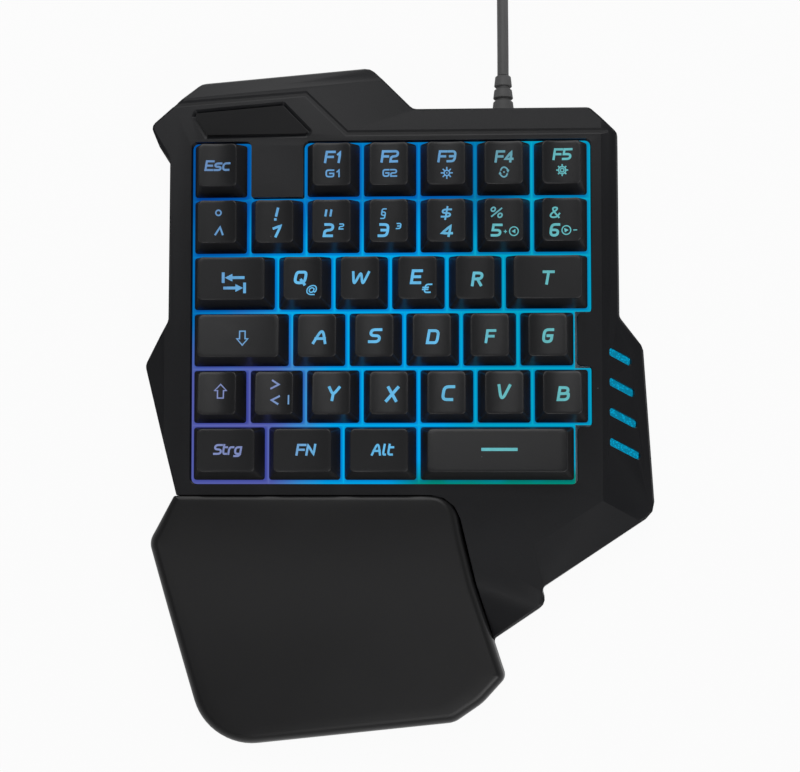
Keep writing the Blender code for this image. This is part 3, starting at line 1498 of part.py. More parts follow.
def least_gap(points, diameter):
    """Smallest gap of a wound cord to itself, measured between points that are not neighbours along it."""
    track = np.array(points)
    dense = [track[0]]
    for a, b in zip(track, track[1:]):
        for k in range(1, 5):
            dense.append(a + (b - a) * k / 4)
    dense = np.array(dense)
    steps = np.linalg.norm(np.diff(dense, axis=0), axis=1)
    along = np.concatenate([[0.0], np.cumsum(steps)])
    least = float("inf")
    for i in range(len(dense)):
        far = np.abs(along - along[i]) > 4 * diameter
        if far.any():
            least = min(least, float(np.linalg.norm(dense[far] - dense[i], axis=1).min()))
    return least - diameter


def cord_tube(name, points, resolution, case_frame):
    """A round cord through its points, with closed ends."""
    curve = bpy.data.curves.new(name, "CURVE")
    curve.dimensions = "3D"
    curve.bevel_depth = CORD_DIAMETER / 2
    curve.bevel_resolution = resolution
    curve.use_fill_caps = True
    spline = curve.splines.new("POLY")
    spline.points.add(len(points) - 1)
    for target, point in zip(spline.points, points):
        target.co = (*point, 1.0)
    curve.materials.append(material("cord_jacket"))
    obj = bpy.data.objects.new(name, curve)
    bpy.context.scene.collection.objects.link(obj)
    obj.parent = case_frame
    return obj


def make_cable(case_frame):
    """Free cord, coil and plug."""
    cord_tube("cable_run", run_points(), 2, case_frame)
    coil = coil_points()
    cord_tube("cable_coil", coil, 1, case_frame)
    print("least gap of the coil to itself, mm:", round(least_gap(coil, CORD_DIAMETER) / MM, 3))
    x, y, z = coil[-1]
    make_plug(case_frame, (x - GAP, y, z))


def make_plug(case_frame, place):
    """Plug: a moulded grip with a short neck, and a folded steel shell."""
    half = PLUG_WIDTH / 2 - PLUG_BEVEL
    rise = PLUG_HEIGHT / 2
    corners = rectangle(-half - PLUG_BEVEL, half + PLUG_BEVEL, -rise, rise, PLUG_BEVEL)
    outline = rounded(corners)
    small = rounded(inset_corners(corners, PLUG_BEVEL / 2))
    turn = (math.pi / 2, 0.0, -math.pi / 2)
    neck = circle(PLUG_NECK_RADIUS, len(outline), start=math.pi * 1.25 + math.pi / len(outline))
    stack = [
        (neck, 0.0),
        (neck, PLUG_NECK_LENGTH - PLUG_BEVEL),
        (small, PLUG_NECK_LENGTH),
        (outline, PLUG_NECK_LENGTH + PLUG_BEVEL),
        (outline, PLUG_LENGTH - PLUG_BEVEL / 2),
        (small, PLUG_LENGTH),
    ]
    bm = loft(stack)
    body = piece("usb_plug_body", bm, "cord_jacket", case_frame, place, turn)
    hidden = SHELL_LENGTH - SHELL_SHOWN
    across, up = SHELL_WIDTH / 2, SHELL_HEIGHT / 2
    shell_corners = rectangle(-across, across, -up, up, SHELL_WALL * 2)
    pocket = loft(
        [
            (rounded(inset_corners(shell_corners, -GAP)), PLUG_LENGTH - hidden - GAP),
            (rounded(inset_corners(shell_corners, -GAP)), PLUG_LENGTH + OVERRUN),
        ]
    )
    combine(body, cutter("shell_pocket", pocket, case_frame, place, turn))
    start, end = PLUG_LENGTH - hidden, PLUG_LENGTH + SHELL_SHOWN
    outside = rounded(shell_corners)
    inside = rounded(inset_corners(shell_corners, SHELL_WALL))
    shell = loft([(outside, start), (outside, end), (inside, end), (inside, start + hidden / 2)])
    piece("usb_plug_shell", shell, "plug_steel", case_frame, place, turn)


def clear_scene():
    """Start from an empty scene."""
    for obj in list(bpy.data.objects):
        bpy.data.objects.remove(obj, do_unlink=True)


def main():
    """Build the keypad."""
    clear_scene()
    x, y = plan_centre()
    case_frame = frame_empty("case_frame", None, (-x, -y, 0.0))
    deck_turn = (math.radians(DECK_SLOPE_DEG), 0.0, 0.0)
    deck_frame = frame_empty("deck_frame", case_frame, (0.0, 0.0, DECK_REAR_HEIGHT), deck_turn)
    wing_place = (FIELD_WIDTH + WING_FOLD, 0.0, 0.0)
    wing_frame = frame_empty("wing_frame", deck_frame, wing_place, wing_frame_turn())
    make_top_shell(case_frame, deck_frame, wing_frame)
    make_bottom_shell(case_frame, deck_frame)
    make_palm_rest(case_frame)
    make_guide_plate(deck_frame)
    make_dome_sheet(deck_frame)
    make_flat_sheets(deck_frame)
    make_keys(deck_frame)
    make_space_wire(deck_frame)
    make_badge(deck_frame)
    make_side_lens(wing_frame)
    make_board(case_frame)
    make_feet_and_screws(case_frame)
    make_strain_relief(case_frame)
    make_cable(case_frame)


main()
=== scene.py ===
"""The looks of a one-handed gaming keypad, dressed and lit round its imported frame.

The deck frame starts at the rear left corner of the key field, on the deck's surface, with X to the
right, Y to the rear and Z out of the deck. Keys, legends, backlight and badge are placed in it.
"""

import math
from collections import namedtuple
from functools import cache

import bmesh
import bpy
from bpy.props import FloatProperty, FloatVectorProperty, IntProperty, PointerProperty
from mathutils import Matrix, Vector
from mathutils.geometry import delaunay_2d_cdt


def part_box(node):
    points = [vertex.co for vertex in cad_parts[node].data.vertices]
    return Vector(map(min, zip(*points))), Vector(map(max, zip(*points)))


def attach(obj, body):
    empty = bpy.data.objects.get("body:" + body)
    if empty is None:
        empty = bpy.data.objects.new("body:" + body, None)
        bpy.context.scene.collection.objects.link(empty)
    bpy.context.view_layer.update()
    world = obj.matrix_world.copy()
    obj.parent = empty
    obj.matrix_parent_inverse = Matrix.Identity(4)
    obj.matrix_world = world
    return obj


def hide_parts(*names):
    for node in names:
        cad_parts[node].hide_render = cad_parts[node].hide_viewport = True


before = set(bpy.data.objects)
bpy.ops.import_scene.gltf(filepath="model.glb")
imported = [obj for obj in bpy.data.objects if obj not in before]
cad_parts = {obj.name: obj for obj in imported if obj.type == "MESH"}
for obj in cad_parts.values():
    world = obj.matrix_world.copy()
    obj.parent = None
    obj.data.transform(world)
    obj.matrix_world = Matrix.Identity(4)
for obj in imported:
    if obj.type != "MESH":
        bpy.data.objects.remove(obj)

bl_info = {
    "name": "Gaming keypad looks",
    "version": (1, 0, 0),
    "blender": (4, 5, 0),
    "location": "3D View > Sidebar > Keypad",
    "description": "Finishes, legends, backlight, cord and studio of a one-handed gaming keypad",
    "category": "Object",
}

MM = 0.001
Key = namedtuple("Key", "name width x y dish tilt")
CASE = "case"

# Angles, in degrees, above which an edge stays sharp
SHARP = 35.0
SHARP_ON_SMALL_PIECES = 30.0
SHARP_ON_CAPS = 40.0
SHARP_ON_SHELLS = 50.0

# Frames of the case, its tilted deck and the right wing's slope
CASE_ORIGIN = Vector((-69.08084, 86.98821, 0.0)) * MM
DECK_REAR_HEIGHT = 23.0 * MM
DECK_SLOPE_DEG = 3.0
WING_START = 137.4 * MM
WING_SLOPE_DEG = 22.0
CASE_PLACE = Matrix.Translation(CASE_ORIGIN)
DECK_RISE = Matrix.Translation((0.0, 0.0, DECK_REAR_HEIGHT))
DECK_PLACE = CASE_PLACE @ DECK_RISE @ Matrix.Rotation(math.radians(DECK_SLOPE_DEG), 4, "X")
WING_SHIFT = Matrix.Translation((WING_START, 0.0, 0.0))
WING_PLACE = DECK_PLACE @ WING_SHIFT @ Matrix.Rotation(math.radians(WING_SLOPE_DEG), 4, "Y")

# The photograph's view, in the deck frame
PHOTO_WIDTH = 800
PHOTO_FOCAL_PIXELS = 1640.0
SENSOR_WIDTH = 36.0
CAMERA_SPOT = Vector((96.7, -109.2, 547.0)) * MM
CAMERA_NEAREST = 10.0 * MM
CAMERA_LEAN_DEG = 2.82
CAMERA_SIDE_DEG = 2.79

# Key field
GAP = 0.3 * MM
KEY_PITCH = 19.05 * MM
KEY_GAP = 1.4 * MM
KEY_ROWS = (
    (("esc", 1.0), (None, 1.0), ("f1", 1.0), ("f2", 1.0), ("f3", 1.0), ("f4", 1.0), ("f5", 1.0)),
    (("caret", 1.0), ("1", 1.0), ("2", 1.0), ("3", 1.0), ("4", 1.0), ("5", 1.0), ("6", 1.0)),
    (("tab", 1.5), ("q", 1.0), ("w", 1.0), ("e", 1.0), ("r", 1.0), ("t", 1.5)),
    (("caps", 1.75), ("a", 1.0), ("s", 1.0), ("d", 1.0), ("f", 1.0), ("g", 1.0)),
    (("shift", 1.0), ("angle", 1.0), ("y", 1.0), ("x", 1.0), ("c", 1.0), ("v", 1.0), ("b", 1.0)),
    (("ctrl", 4 / 3), ("fn", 4 / 3), ("alt", 4 / 3), ("space", 2.75)),
)
FIELD_WIDTH = 7 * KEY_PITCH
FIELD_DEPTH = len(KEY_ROWS) * KEY_PITCH

# Keycaps
CAP_HEIGHT = 8.0 * MM
CAP_DROP = 0.5 * MM
CAP_SIDE_TAPER = 2.4 * MM
CAP_REAR_TAPER = 0.7 * MM
CAP_FRONT_TAPER = 2.6 * MM
CAP_SKIRT_ROUND = 1.0 * MM
CAP_TOP_ROUND = 1.6 * MM
CAP_DISH = 0.8 * MM
SPACE_CROWN = 0.3 * MM
CAP_FOOT_ROUND = 0.12 * MM

# Tilt of each row's tops towards the rear, from the rear row to the front one
ROW_TILTS_DEG = (-1.0, -1.0, 0.5, 4.5, 6.5, 2.0)
SPACE_TILT_DEG = 7.2

CAP_WALL = 1.2 * MM
CAP_ROOF = 1.0 * MM
CAP_CORNER_STEPS = 5
CAP_ACROSS_STEPS = 8
CAP_ALONG_STEPS = 3
CAP_INNER_SHARES = (0.9, 0.7, 0.45, 0.2)
STEM_SIDE = 6.4 * MM
STEM_ROUND = 0.8 * MM
STEM_WALL = 1.3 * MM
STEM_HOLLOW = 3.0 * MM
STEM_REACH = 2.6 * MM
HOOK_SPREAD = 41.4 * MM
HOOK_WIDTH = 2.4 * MM
HOOK_PLACE_Y = 5.06 * MM
HOOK_PLACE_Z = 1.2 * MM
HOOK_SLOT = Vector((2.95, 2.0)) * MM
HOOK_WALL = 0.7 * MM

# Legends: what stands on each cap, its middle from the cap's middle, its width and height, and for some the
# width of their lines, in millimetres. Letters, digits and signs lean; the other marks stand upright.
LEGEND_DEPTH = 0.06 * MM
LEGEND_PROUD = 0.03 * MM
LEGENDS = {
    "esc": (("Esc", -0.14, 0.78, 8.75, 3.62),),
    "f1": (("F1", 0.37, 3.37, 5.9, 4.14), ("G1", 0.32, -2.15, 4.77, 2.64)),
    "f2": (("F2", 0.37, 3.37, 6.3, 4.14), ("G2", 0.32, -2.15, 4.9, 2.64)),
    "f3": (("F3", 0.32, 3.22, 6.5, 4.05), ("sun", 0.21, -2.31, 3.98, 3.98, 0.42)),
    "f4": (("F4", 0.1, 3.01, 6.29, 4.11), ("cycle", 0.09, -2.18, 4.1, 3.9, 0.5)),
    "f5": (("F5", 0.35, 3.58, 6.61, 3.94), ("glow", 0.23, -1.71, 3.97, 3.97, 0.42)),
    "caret": (("ring", 0.25, 3.97, 2.24, 2.24, 0.5), ("^", 0.45, -2.05, 3.03, 3.0, 0.6)),
    "1": (("!", 0.68, 3.39, 1.66, 4.34), ("1", 0.94, -2.24, 3.13, 4.33)),
    "2": (
        ("quotes", -1.06, 3.64, 2.63, 2.35, 0.7), ("2", -0.98, -2.09, 3.95, 4.65),
        ("2", 3.3, -0.92, 1.99, 2.06, 0.4),
    ),
    "3": (
        ("§", -1.78, 3.27, 2.1, 3.6, 0.42), ("3", -1.68, -2.22, 4.05, 4.64),
        ("3", 3.3, -0.9, 1.99, 2.06, 0.4),
    ),
    "4": (("$", 0.04, 3.33, 3.75, 4.57, 0.6), ("4", 0.13, -2.55, 4.14, 4.13)),
    "5": (
        ("%", -2.38, 3.42, 4.07, 3.8, 0.5), ("5", -2.4, -2.48, 3.94, 4.29), ("+", 0.48, -2.94, 1.1, 1.1, 0.3),
        ("back", 3.29, -2.89, 3.24, 3.24, 0.36),
    ),
    "6": (
        ("&", -2.26, 3.27, 3.6, 3.79, 0.55), ("6", -2.35, -2.54, 3.74, 4.45),
        ("play", 1.51, -2.61, 3.24, 3.24, 0.36), ("-", 4.42, -2.63, 1.28, 0.32, 0.32),
    ),
    "tab": (("tab", 0.79, -0.46, 8.13, 7.0, 0.95),),
    "q": (("Q", -0.76, 0.98, 4.98, 4.94), ("@", 2.93, -3.03, 3.82, 3.41, 0.4)),
    "w": (("W", 0.32, 1.05, 5.98, 4.29),),
    "e": (("E", -0.35, 1.23, 4.34, 4.93), ("€", 3.2, -2.67, 3.44, 3.13, 0.5)),
    "r": (("R", 0.73, 0.39, 4.28, 4.85),),
    "t": (("T", 0.4, 0.74, 3.99, 4.68),),
    "caps": (("down", 1.24, 0.16, 4.1, 5.1, 0.42),),
    "a": (("A", 0.69, 0.39, 4.78, 4.63),),
    "s": (("S", 0.22, 0.82, 4.77, 4.95),),
    "d": (("D", 0.34, 0.41, 4.76, 4.94),),
    "f": (("F", 0.24, 0.51, 3.86, 4.61),),
    "g": (("G", 0.07, 0.6, 4.15, 4.93),),
    "shift": (("up", 1.13, 1.6, 4.4, 5.0, 0.42),),
    "angle": (
        (">", 0.23, 3.8, 3.1, 3.2, 0.6), ("<", 0.42, -1.4, 3.1, 3.1, 0.6), ("|", 4.85, -1.3, 0.5, 3.1, 0.5),
    ),
    "y": (("Y", 0.95, 0.71, 4.17, 4.95),),
    "x": (("X", 1.09, 0.5, 4.75, 5.27),),
    "c": (("C", 0.5, 0.79, 4.74, 5.26),),
    "v": (("V", 0.02, 1.24, 4.45, 4.93),),
    "b": (("B", 0.29, 0.54, 4.44, 4.92),),
    "ctrl": (("Strg", 0.56, 0.95, 9.7, 4.3, 0.66),),
    "fn": (("FN", 1.15, 1.2, 6.9, 3.9),),
    "alt": (("Alt", 1.13, 1.2, 7.7, 3.9, 0.7),),
    "space": (("-", 0.69, 1.27, 11.9, 1.04, 1.04),),
}
UPRIGHT_MARKS = ("G1", "G2", "sun", "glow", "cycle", "ring", "back", "play", "tab", "up", "down", "-", "+")

# Each mark's paths on a grid, as pairs of hexadecimal digits across and up. A path is an open line, or a
# closed one after #, a filled shape after *, a dot after ., or a circle round its first point after @.
GLYPHS = {
    "A": "023a5a82 1575",
    "B": "06767a0a0a0202828676",
    "C": "8a0a0282",
    "D": "4202020a0a8a8242",
    "E": "8a0a0a020282 0676",
    "F": "8a0a0a02 0676",
    "G": "8a0a0282868646",
    "N": "020a0a82828a",
    "Q": "4a8a82020a4a 5481",
    "R": "020a0a8a8606 4682",
    "S": "8a0a06868202",
    "T": "0a8a 4a42",
    "V": "0a32528a",
    "W": "0a223259698292ba",
    "X": "028a 0a82",
    "Y": "0a458a 4542",
    "c": "78080272",
    "g": "72020878787000",
    "l": "0a0222",
    "r": "020858",
    "s": "780805757202",
    "t": "0a0242 0848",
    "1": "183a3a32",
    "2": "0a8a8606020282",
    "3": "0a8a8202 2686",
    "4": "626a6a040484",
    "5": "8a0a0a0606868202",
    "6": "8a0a02828606",
    "!": "0a05 .02",
    "quotes": "0a07 4a47",
    "§": "5b0b085855 0805555202",
    "$": "890906868303 4b41",
    "%": "028a @092 @832",
    "&": "82181a5a5805026285",
    "@": "723204083a6a8885746567 @462",
    "€": "8a2a2282 0757 0555",
    "^": "063a3a66",
    ">": "0a868602",
    "<": "8a060682",
    "|": "0b01",
    "+": "0545 2723",
    "-": "0545",
    "ring": "@222",
    "sun": "@663 .66 6a6c 6260 a6c6 2606 99aa 3322 392a 93a2",
    "glow": "@664 @662 6c6a 6260 a6c6 2606 99aa 3322 392a 93a2",
    "cycle": "384a7baac8 *a8e8c5 b4a2714224 *440427 .76",
    "back": "@666 *368389",
    "play": "@666 *963943",
    "tab": "0e08 *1b6e68 6bdb 1383 *d38680 e6e0",
    "down": "#2b25054085656b",
    "up": "#2026064b866660",
}
LETTER_SHEAR = 0.22
LETTER_LINE_SHARE = 0.19
LETTER_SPACE = 3.0
BEND_REACH_SHARE = 0.28
BEND_STEPS = 4
LONGEST_STEP = 1.2
LEAST_STEP = 0.001
LEAST_MITRE = 0.45
ICON_SIDES = 28

# Backlight between the caps
PLATE_TOP = -4.4 * MM
LATTICE_LIFT = 0.04 * MM
LATTICE_SHEET = 0.12 * MM
LATTICE_MARGIN = 1.0 * MM
BORDER_WIDTH = 0.3 * MM
BLANK_X = 1.5 * KEY_PITCH
LATTICE_REACH = 1.6 * MM
LATTICE_ROUND = 0.2 * MM
# Share of full glow at a gap's edge; the painted shade under the skirts fades it out from there
LATTICE_EDGE_GLOW = 0.35

# Where the backlight's colours change, as an axis, a start and an end in millimetres
LEFT_SPAN = (0, -38.0, -66.0)
RIGHT_SPAN = (0, 10.0, 32.0)
CORNER_SPANS = ((0, -22.0, -46.0), (1, 32.0, 6.0))
FRONT_SPANS = ((0, -6.0, 14.0), (1, -17.0, -25.0))
DIM_SPANS = ((1, 50.0, 72.0), (0, 46.0, 36.0))
DIM_COLOUR = (0.5, 0.55, 0.72)
SWAYS_PER_METRE = 42.0
SWAY = 0.025
FILM_CAST_SHARE = 0.5
# Painted shade: the tint that darkens the film's glow under the caps' skirts
FILM_PAINTED_SHADE_TINT = (0.20, 0.25, 0.62)
LEGEND_BLUE_SHARE = 0.72
LEGEND_PALE_SHARE = 0.20
LEGEND_PALE_COLOUR = (0.60, 0.76, 0.84)
LENS_COLOUR = (0.0, 0.37, 0.63)

# What glows, unlit: two dark colours, how fine their pattern is, and the greys that break up the glow
FILM_BASE = ((0.002, 0.008, 0.012), (0.003, 0.012, 0.018))
FILM_CLOUDS_PER_METRE = 900.0
LEGEND_BASE = ((0.010, 0.014, 0.018), (0.016, 0.022, 0.028))
LEGEND_CLOUDS_PER_METRE = 260.0
LEGEND_TONES = ((0.25, 0.78), (0.65, 1.0))
LENS_BASE = ((0.002, 0.012, 0.018), (0.004, 0.018, 0.026))
LENS_CELLS_PER_METRE = 1300.0
LENS_TONES = ((0.15, 1.0), (0.55, 0.50))

# Joining of a shell's loose triangles, and wide rounds along its long shallow folds
MERGE_REACH = 0.002 * MM
FLAT_MOST = math.radians(0.5)
EDGE_LEAST = math.radians(12.0)
FOLD_LENGTH = 25.0 * MM
FOLD_LEAST = math.radians(9.0)
FOLD_MOST = math.radians(48.0)
FOLD_WIDTH = 1.0 * MM

# Grain, clouds and dust of moulded plastics
GRAIN_HARSHNESS = 0.6
GRAIN_DEPTH = 0.08 * MM
CLOUDS_PER_METRE = 45.0
CLOUD_HARSHNESS = 0.55
CLOUD_SHARE = 0.3
POLISH_SHARE = 0.15
SPECKS_PER_METRE = 160.0
SPECK_REACH = 0.022
PATCHES_PER_METRE = 70.0
SPECK_PATCH_LEAST = 0.60
DUST_COLOUR = (0.30, 0.31, 0.33)
# Painted light: a lighter colour on the caps' steep sides, and the upward facings over which it fades out
CAP_SIDES_PAINTED_LIGHT = (0.034, 0.034, 0.036)
STEEP_PAINTED_LIGHT_STOPS = ((0.50, 1.0), (0.80, 0.0))

# Moulded plastics and rubbers: name, colour where the settings hold none, roughness, grain per metre, mottle,
# dust, bump, specular level, and for one the lighter colour painted on its steep sides as painted light
PLASTICS = {
    "case": ("Housing plastic", None, 0.30, 2300.0, 0.6, 1.0, 0.10, 0.42),
    "palm": ("Palm rest plastic", None, 0.30, 2300.0, 0.4, 1.0, 0.05, 0.58),
    "cap": ("Keycap plastic", None, 0.30, 2600.0, 1.1, 0.6, 0.15, 0.84, CAP_SIDES_PAINTED_LIGHT),
    "badge": ("Badge plastic", (0.0180, 0.0180, 0.0195), 0.45, 7000.0, 0.15, 0.0, 0.04, 0.25),
    "cord": ("Cord jacket", (0.172, 0.172, 0.173), 0.50, 2600.0, 0.25, 0.0, 0.10, 0.35),
    "relief": ("Relief rubber", (0.176, 0.176, 0.177), 0.55, 3200.0, 0.25, 0.0, 0.15, 0.35),
    "rubber": ("Foot rubber", (0.022, 0.022, 0.022), 0.85, 2400.0, 0.5, 0.5, 0.35, 0.25),
    "tie": ("Tie strap", (0.016, 0.016, 0.017), 0.70, 2000.0, 0.5, 0.0, 0.35, 0.25),
    "dome": ("Dome silicone", (0.50, 0.50, 0.48), 0.55, 1800.0, 0.1, 0.0, 0.1, 0.4),
    "guide": ("Guide plate plastic", (0.55, 0.62, 0.70), 0.40, 3200.0, 0.1, 0.0, 0.08, 0.4),
    "tongue": ("Connector tongue", (0.72, 0.72, 0.70), 0.45, 3000.0, 0.08, 0.0, 0.05, 0.4),
}

# Metals: name, colour, roughness and how close their lines lie along each axis
LINES_ALONG_X = (60.0, 900.0, 900.0)
LINES_ALONG_Z = (900.0, 900.0, 60.0)
LINE_SCALE = 6.0
LINE_TONES = ((0.3, 0.82), (0.7, 1.0))
LINE_SHINE = (0.8, 1.3)
METALS = {
    "screw": ("Blackened screw steel", (0.16, 0.16, 0.17), 0.36, LINES_ALONG_Z),
    "plug_steel": ("Nickel plated shell", (0.66, 0.66, 0.67), 0.26, LINES_ALONG_X),
    "gold": ("Contact gold", (0.85, 0.62, 0.28), 0.24, LINES_ALONG_X),
    "wire": ("Spring wire", (0.60, 0.60, 0.62), 0.28, LINES_ALONG_X),
}

# Patterned parts inside: name, both colours, pattern per metre, roughness, and for one its dots and clearness
PATTERNED = {
    "board": ("Board laminate", (0.010, 0.075, 0.030), (0.022, 0.15, 0.060), 260.0, 0.35),
    "film": ("Printed film", (0.62, 0.66, 0.70), (0.20, 0.21, 0.22), 130.0, 0.30),
    "acrylic": (
        "Dotted acrylic", (0.92, 0.95, 0.98), (0.70, 0.75, 0.80), 700.0, 0.12, "ShaderNodeTexVoronoi", 0.6,
    ),
}
PATTERN_STOPS = ((0.25, 0.0), (0.45, 1.0))
VALUE = "NodeSocketFloat"
COLOUR = "NodeSocketColor"

# Studio: the floor, the soft box to the rear (metres and watts), and grey values of the walls and panels by
# how far a direction points up, to the front or to the right
FLOOR_COLOUR = (0.86, 0.86, 0.87)
FLOOR_WHITE_SHARE = 0.95
FLOOR_MIRROR_SHARE = 0.35
REAR_BOX_PLACE = (-0.03, 0.66, 0.76)
REAR_BOX_SIZE = (0.60, 0.98)
REAR_BOX_POWER = 2.6
WALLS_UP = ((0.0, 0.34), (0.30, 0.30), (0.62, 0.12), (0.85, 0.08))
OVERHEAD_UP = ((0.80, 0.0), (0.92, 1.0))
OVERHEAD_FORWARD = ((0.0, 0.0), (0.08, 0.38), (0.20, 0.55), (0.28, 0.0))
FRONT_UP = ((0.45, 0.0), (0.58, 1.0))
FRONT_FORWARD = ((0.38, 0.0), (0.45, 1.0), (0.74, 1.0), (0.86, 0.2))
FRONT_ASIDE = ((0.44, 0.0), (0.50, 1.5), (0.56, 1.5), (0.64, 0.5), (0.70, 0.5), (0.80, 1.8))

# Lit slots in the right wing
SLOT_COUNT = 4
SLOT_PITCH = 10.0 * MM
SLOT_HEIGHT = 2.9 * MM
SLOT_START = 2.7 * MM
SLOT_FIRST_LENGTH = 8.2 * MM
SLOT_GROWTH = 1.0 * MM
SLOT_SKEW_SHARE = 0.47
SLOT_FIRST_SHARE = 0.605
LENS_SINK = 0.6 * MM
PRISM_PITCH = 0.55 * MM
PRISM_WIDTH = 0.22 * MM
PRISM_RISE = 0.12 * MM

# Palm rest. Its corners run counter-clockwise from the rear right: shares of its width and depth, and a round
PALM_SETBACK = 4.4 * MM
PALM_WIDTH = 120.3 * MM
PALM_DEPTH = 84.5 * MM
PALM_REACH_LEFT = 14.9 * MM
PALM_CORNERS = (
    (0.856, 0.000, 10.0 * MM),
    (0.073, 0.000, 1.5 * MM),
    (0.000, 0.179, 6.5 * MM),
    (0.166, 1.000, 20.0 * MM),
    (0.855, 0.892, 8.0 * MM),
    (0.934, 0.815, 15.0 * MM),
    (1.000, 0.712, 3.6 * MM),
    (0.914, 0.342, 20.0 * MM),
)
PALM_EDGE_ROUND = 3.2 * MM
PALM_REAR_ROUND = 0.8 * MM
PALM_REAR_BLEND = 12.0 * MM
PALM_REAR_LIFT = 0.6 * MM
PALM_CROWN = 2.2 * MM
PALM_CROWN_SHIFT_SHARE = 0.8
PALM_CROWN_FADE_SHARE = 0.35
PALM_FRONT_HEIGHT = 10.4 * MM
PALM_WALL = 2.2 * MM
PALM_EDGE_STEPS = 7
PALM_INNER_STEPS = 12
PALM_ARC_STEP_DEG = 6.0
PALM_POINT_SPACING = 4.0 * MM
PALM_BOSS_RADIUS = 2.9 * MM
PALM_BOSS_BORE = 1.6 * MM
POST_GAP_HEIGHT = 7.0 * MM
PARTING_HEIGHT = 5.5 * MM
CASE_DRAFT_DEG = 5.0
LEAST_ROUND_SHARE = 0.2

# Cord, with its route in the case frame
CORD_DIAMETER = 3.9 * MM
RELIEF_X = 104.946 * MM
RELIEF_HEIGHT = 10.6 * MM
RELIEF_TIP_Y = 25.839 * MM
RELIEF_TIP_RADIUS = 2.7 * MM
RELIEF_BASE_RADIUS = 3.75 * MM
RELIEF_LENGTH = 12.7 * MM
RELIEF_NECK_RADIUS = 3.0 * MM
RELIEF_RIBS = 3
RELIEF_RIB_GAP = 0.9 * MM
RELIEF_RIB_DEPTH = 0.75 * MM
RELIEF_ROUND = 0.3 * MM
RELIEF_SIDES = 40
RELIEF_FLANGE = 1.5 * MM
CORD_FALL = 42.0 * MM
CORD_POINT_SPACING = 4.5 * MM
COIL_CENTRE = Vector((70.071, 102.575)) * MM
COIL_OUTER_RADIUS = 34.875 * MM
COIL_INNER_RADIUS = 13.6 * MM
COIL_STEP = 4.6 * MM
COIL_LAYER_STEP = 4.5 * MM
COIL_TURNS = 9.25
COIL_LOOP_POINTS = 24
COIL_CLIMB_TURNS = 0.5
TAIL_RUN = 22.0 * MM
TAIL_STRAIGHT = 4.5 * MM
TAIL_STEPS = 5
CORD_SIDES = 6

# Cord tie, a soft strap round all the turns at one side of the coil
TIE_ANGLE_DEG = 200.0
TIE_WIDTH = 9.0 * MM
TIE_THICKNESS = 0.9 * MM
TIE_CLEARANCE = 0.25 * MM
TIE_ROUND = 2.2 * MM
TIE_RIDGES = 7
TIE_RIDGE_WIDTH = 0.5 * MM
TIE_RIDGE_RISE = 0.16 * MM

# Plug, along its own axis from the cord's end
PLUG_LENGTH = 27.0 * MM
PLUG_WIDTH = 15.6 * MM
PLUG_HEIGHT = 8.6 * MM
PLUG_BEVEL = 1.6 * MM
PLUG_NECK_LENGTH = 6.0 * MM
PLUG_NECK_RADIUS = 3.0 * MM
PLUG_NECK_STEPS = 5
PLUG_RIBS = 5
PLUG_RIB_PITCH = 2.3 * MM
PLUG_RIB_WIDTH = 0.9 * MM
PLUG_RIB_RISE = 0.22 * MM
SHELL_LENGTH = 18.6 * MM
SHELL_SHOWN = 12.2 * MM
SHELL_WIDTH = 12.0 * MM
SHELL_HEIGHT = 4.5 * MM
SHELL_WALL = 0.4 * MM
LATCH_SIDE = 2.1 * MM
LATCH_SPREAD = 5.0 * MM
LATCH_FROM_END = 5.6 * MM
TONGUE_THICKNESS = 1.9 * MM
CONTACT_PITCH = 2.3 * MM
CONTACT_WIDTH = 1.1 * MM
CONTACT_RISE = 0.12 * MM

# Screws and feet
SCREWS = ("screw_rear_left", "screw_rear_right", "screw_apron", "screw_palm")
FEET = ("foot_rear_left", "foot_rear_right", "foot_front_left", "foot_front_right")
SCREW_HEAD_RADIUS = 2.6 * MM
SCREW_HEAD_HEIGHT = 1.7 * MM
SCREW_SHANK_RADIUS = 1.3 * MM
SCREW_LENGTH = 7.2 * MM
SCREW_THREAD_SHARE = 0.8
SCREW_CROSS_SHARE = 3.4
SCREW_THREAD_RISE = 0.25 * MM
SCREW_THREAD_PITCH = 1.0 * MM
SCREW_CROSS_WIDTH = 0.7 * MM
SCREW_CROSS_DEPTH = 0.9 * MM
FOOT_RINGS = 3
FOOT_RING_PITCH = 1.25 * MM
FOOT_RING_RADIUS = 0.18 * MM
FOOT_EDGE = 0.35 * MM
FOOT_EDGE_SHARE = 0.3
FOOT_SIDES = 48
BADGE_EDGE = 0.15 * MM

# A row of bars, as the tree that makes it is given it
BAR_SIZES = {"Count": 5, "Pitch": MM, "Length": MM, "Width": MM, "Rise": MM}


class KeypadSizes(bpy.types.PropertyGroup):
    """Sizes of the finish that a user may change."""

    edge_break: FloatProperty(
        name="Edge break", description="Rounding of the case's edges", default=0.45 * MM, unit="LENGTH"
    )
    cap_edge: FloatProperty(
        name="Keycap edge", description="Rounding of a cap's top edge", default=0.34 * MM, unit="LENGTH"
    )
    cord_sides: IntProperty(
        name="Cord facets", description="Bevel steps round a quarter of the cord", default=CORD_SIDES, min=2
    )
    floor_radius: FloatProperty(
        name="Floor radius", description="Radius of the studio floor", default=4.0, unit="LENGTH"
    )


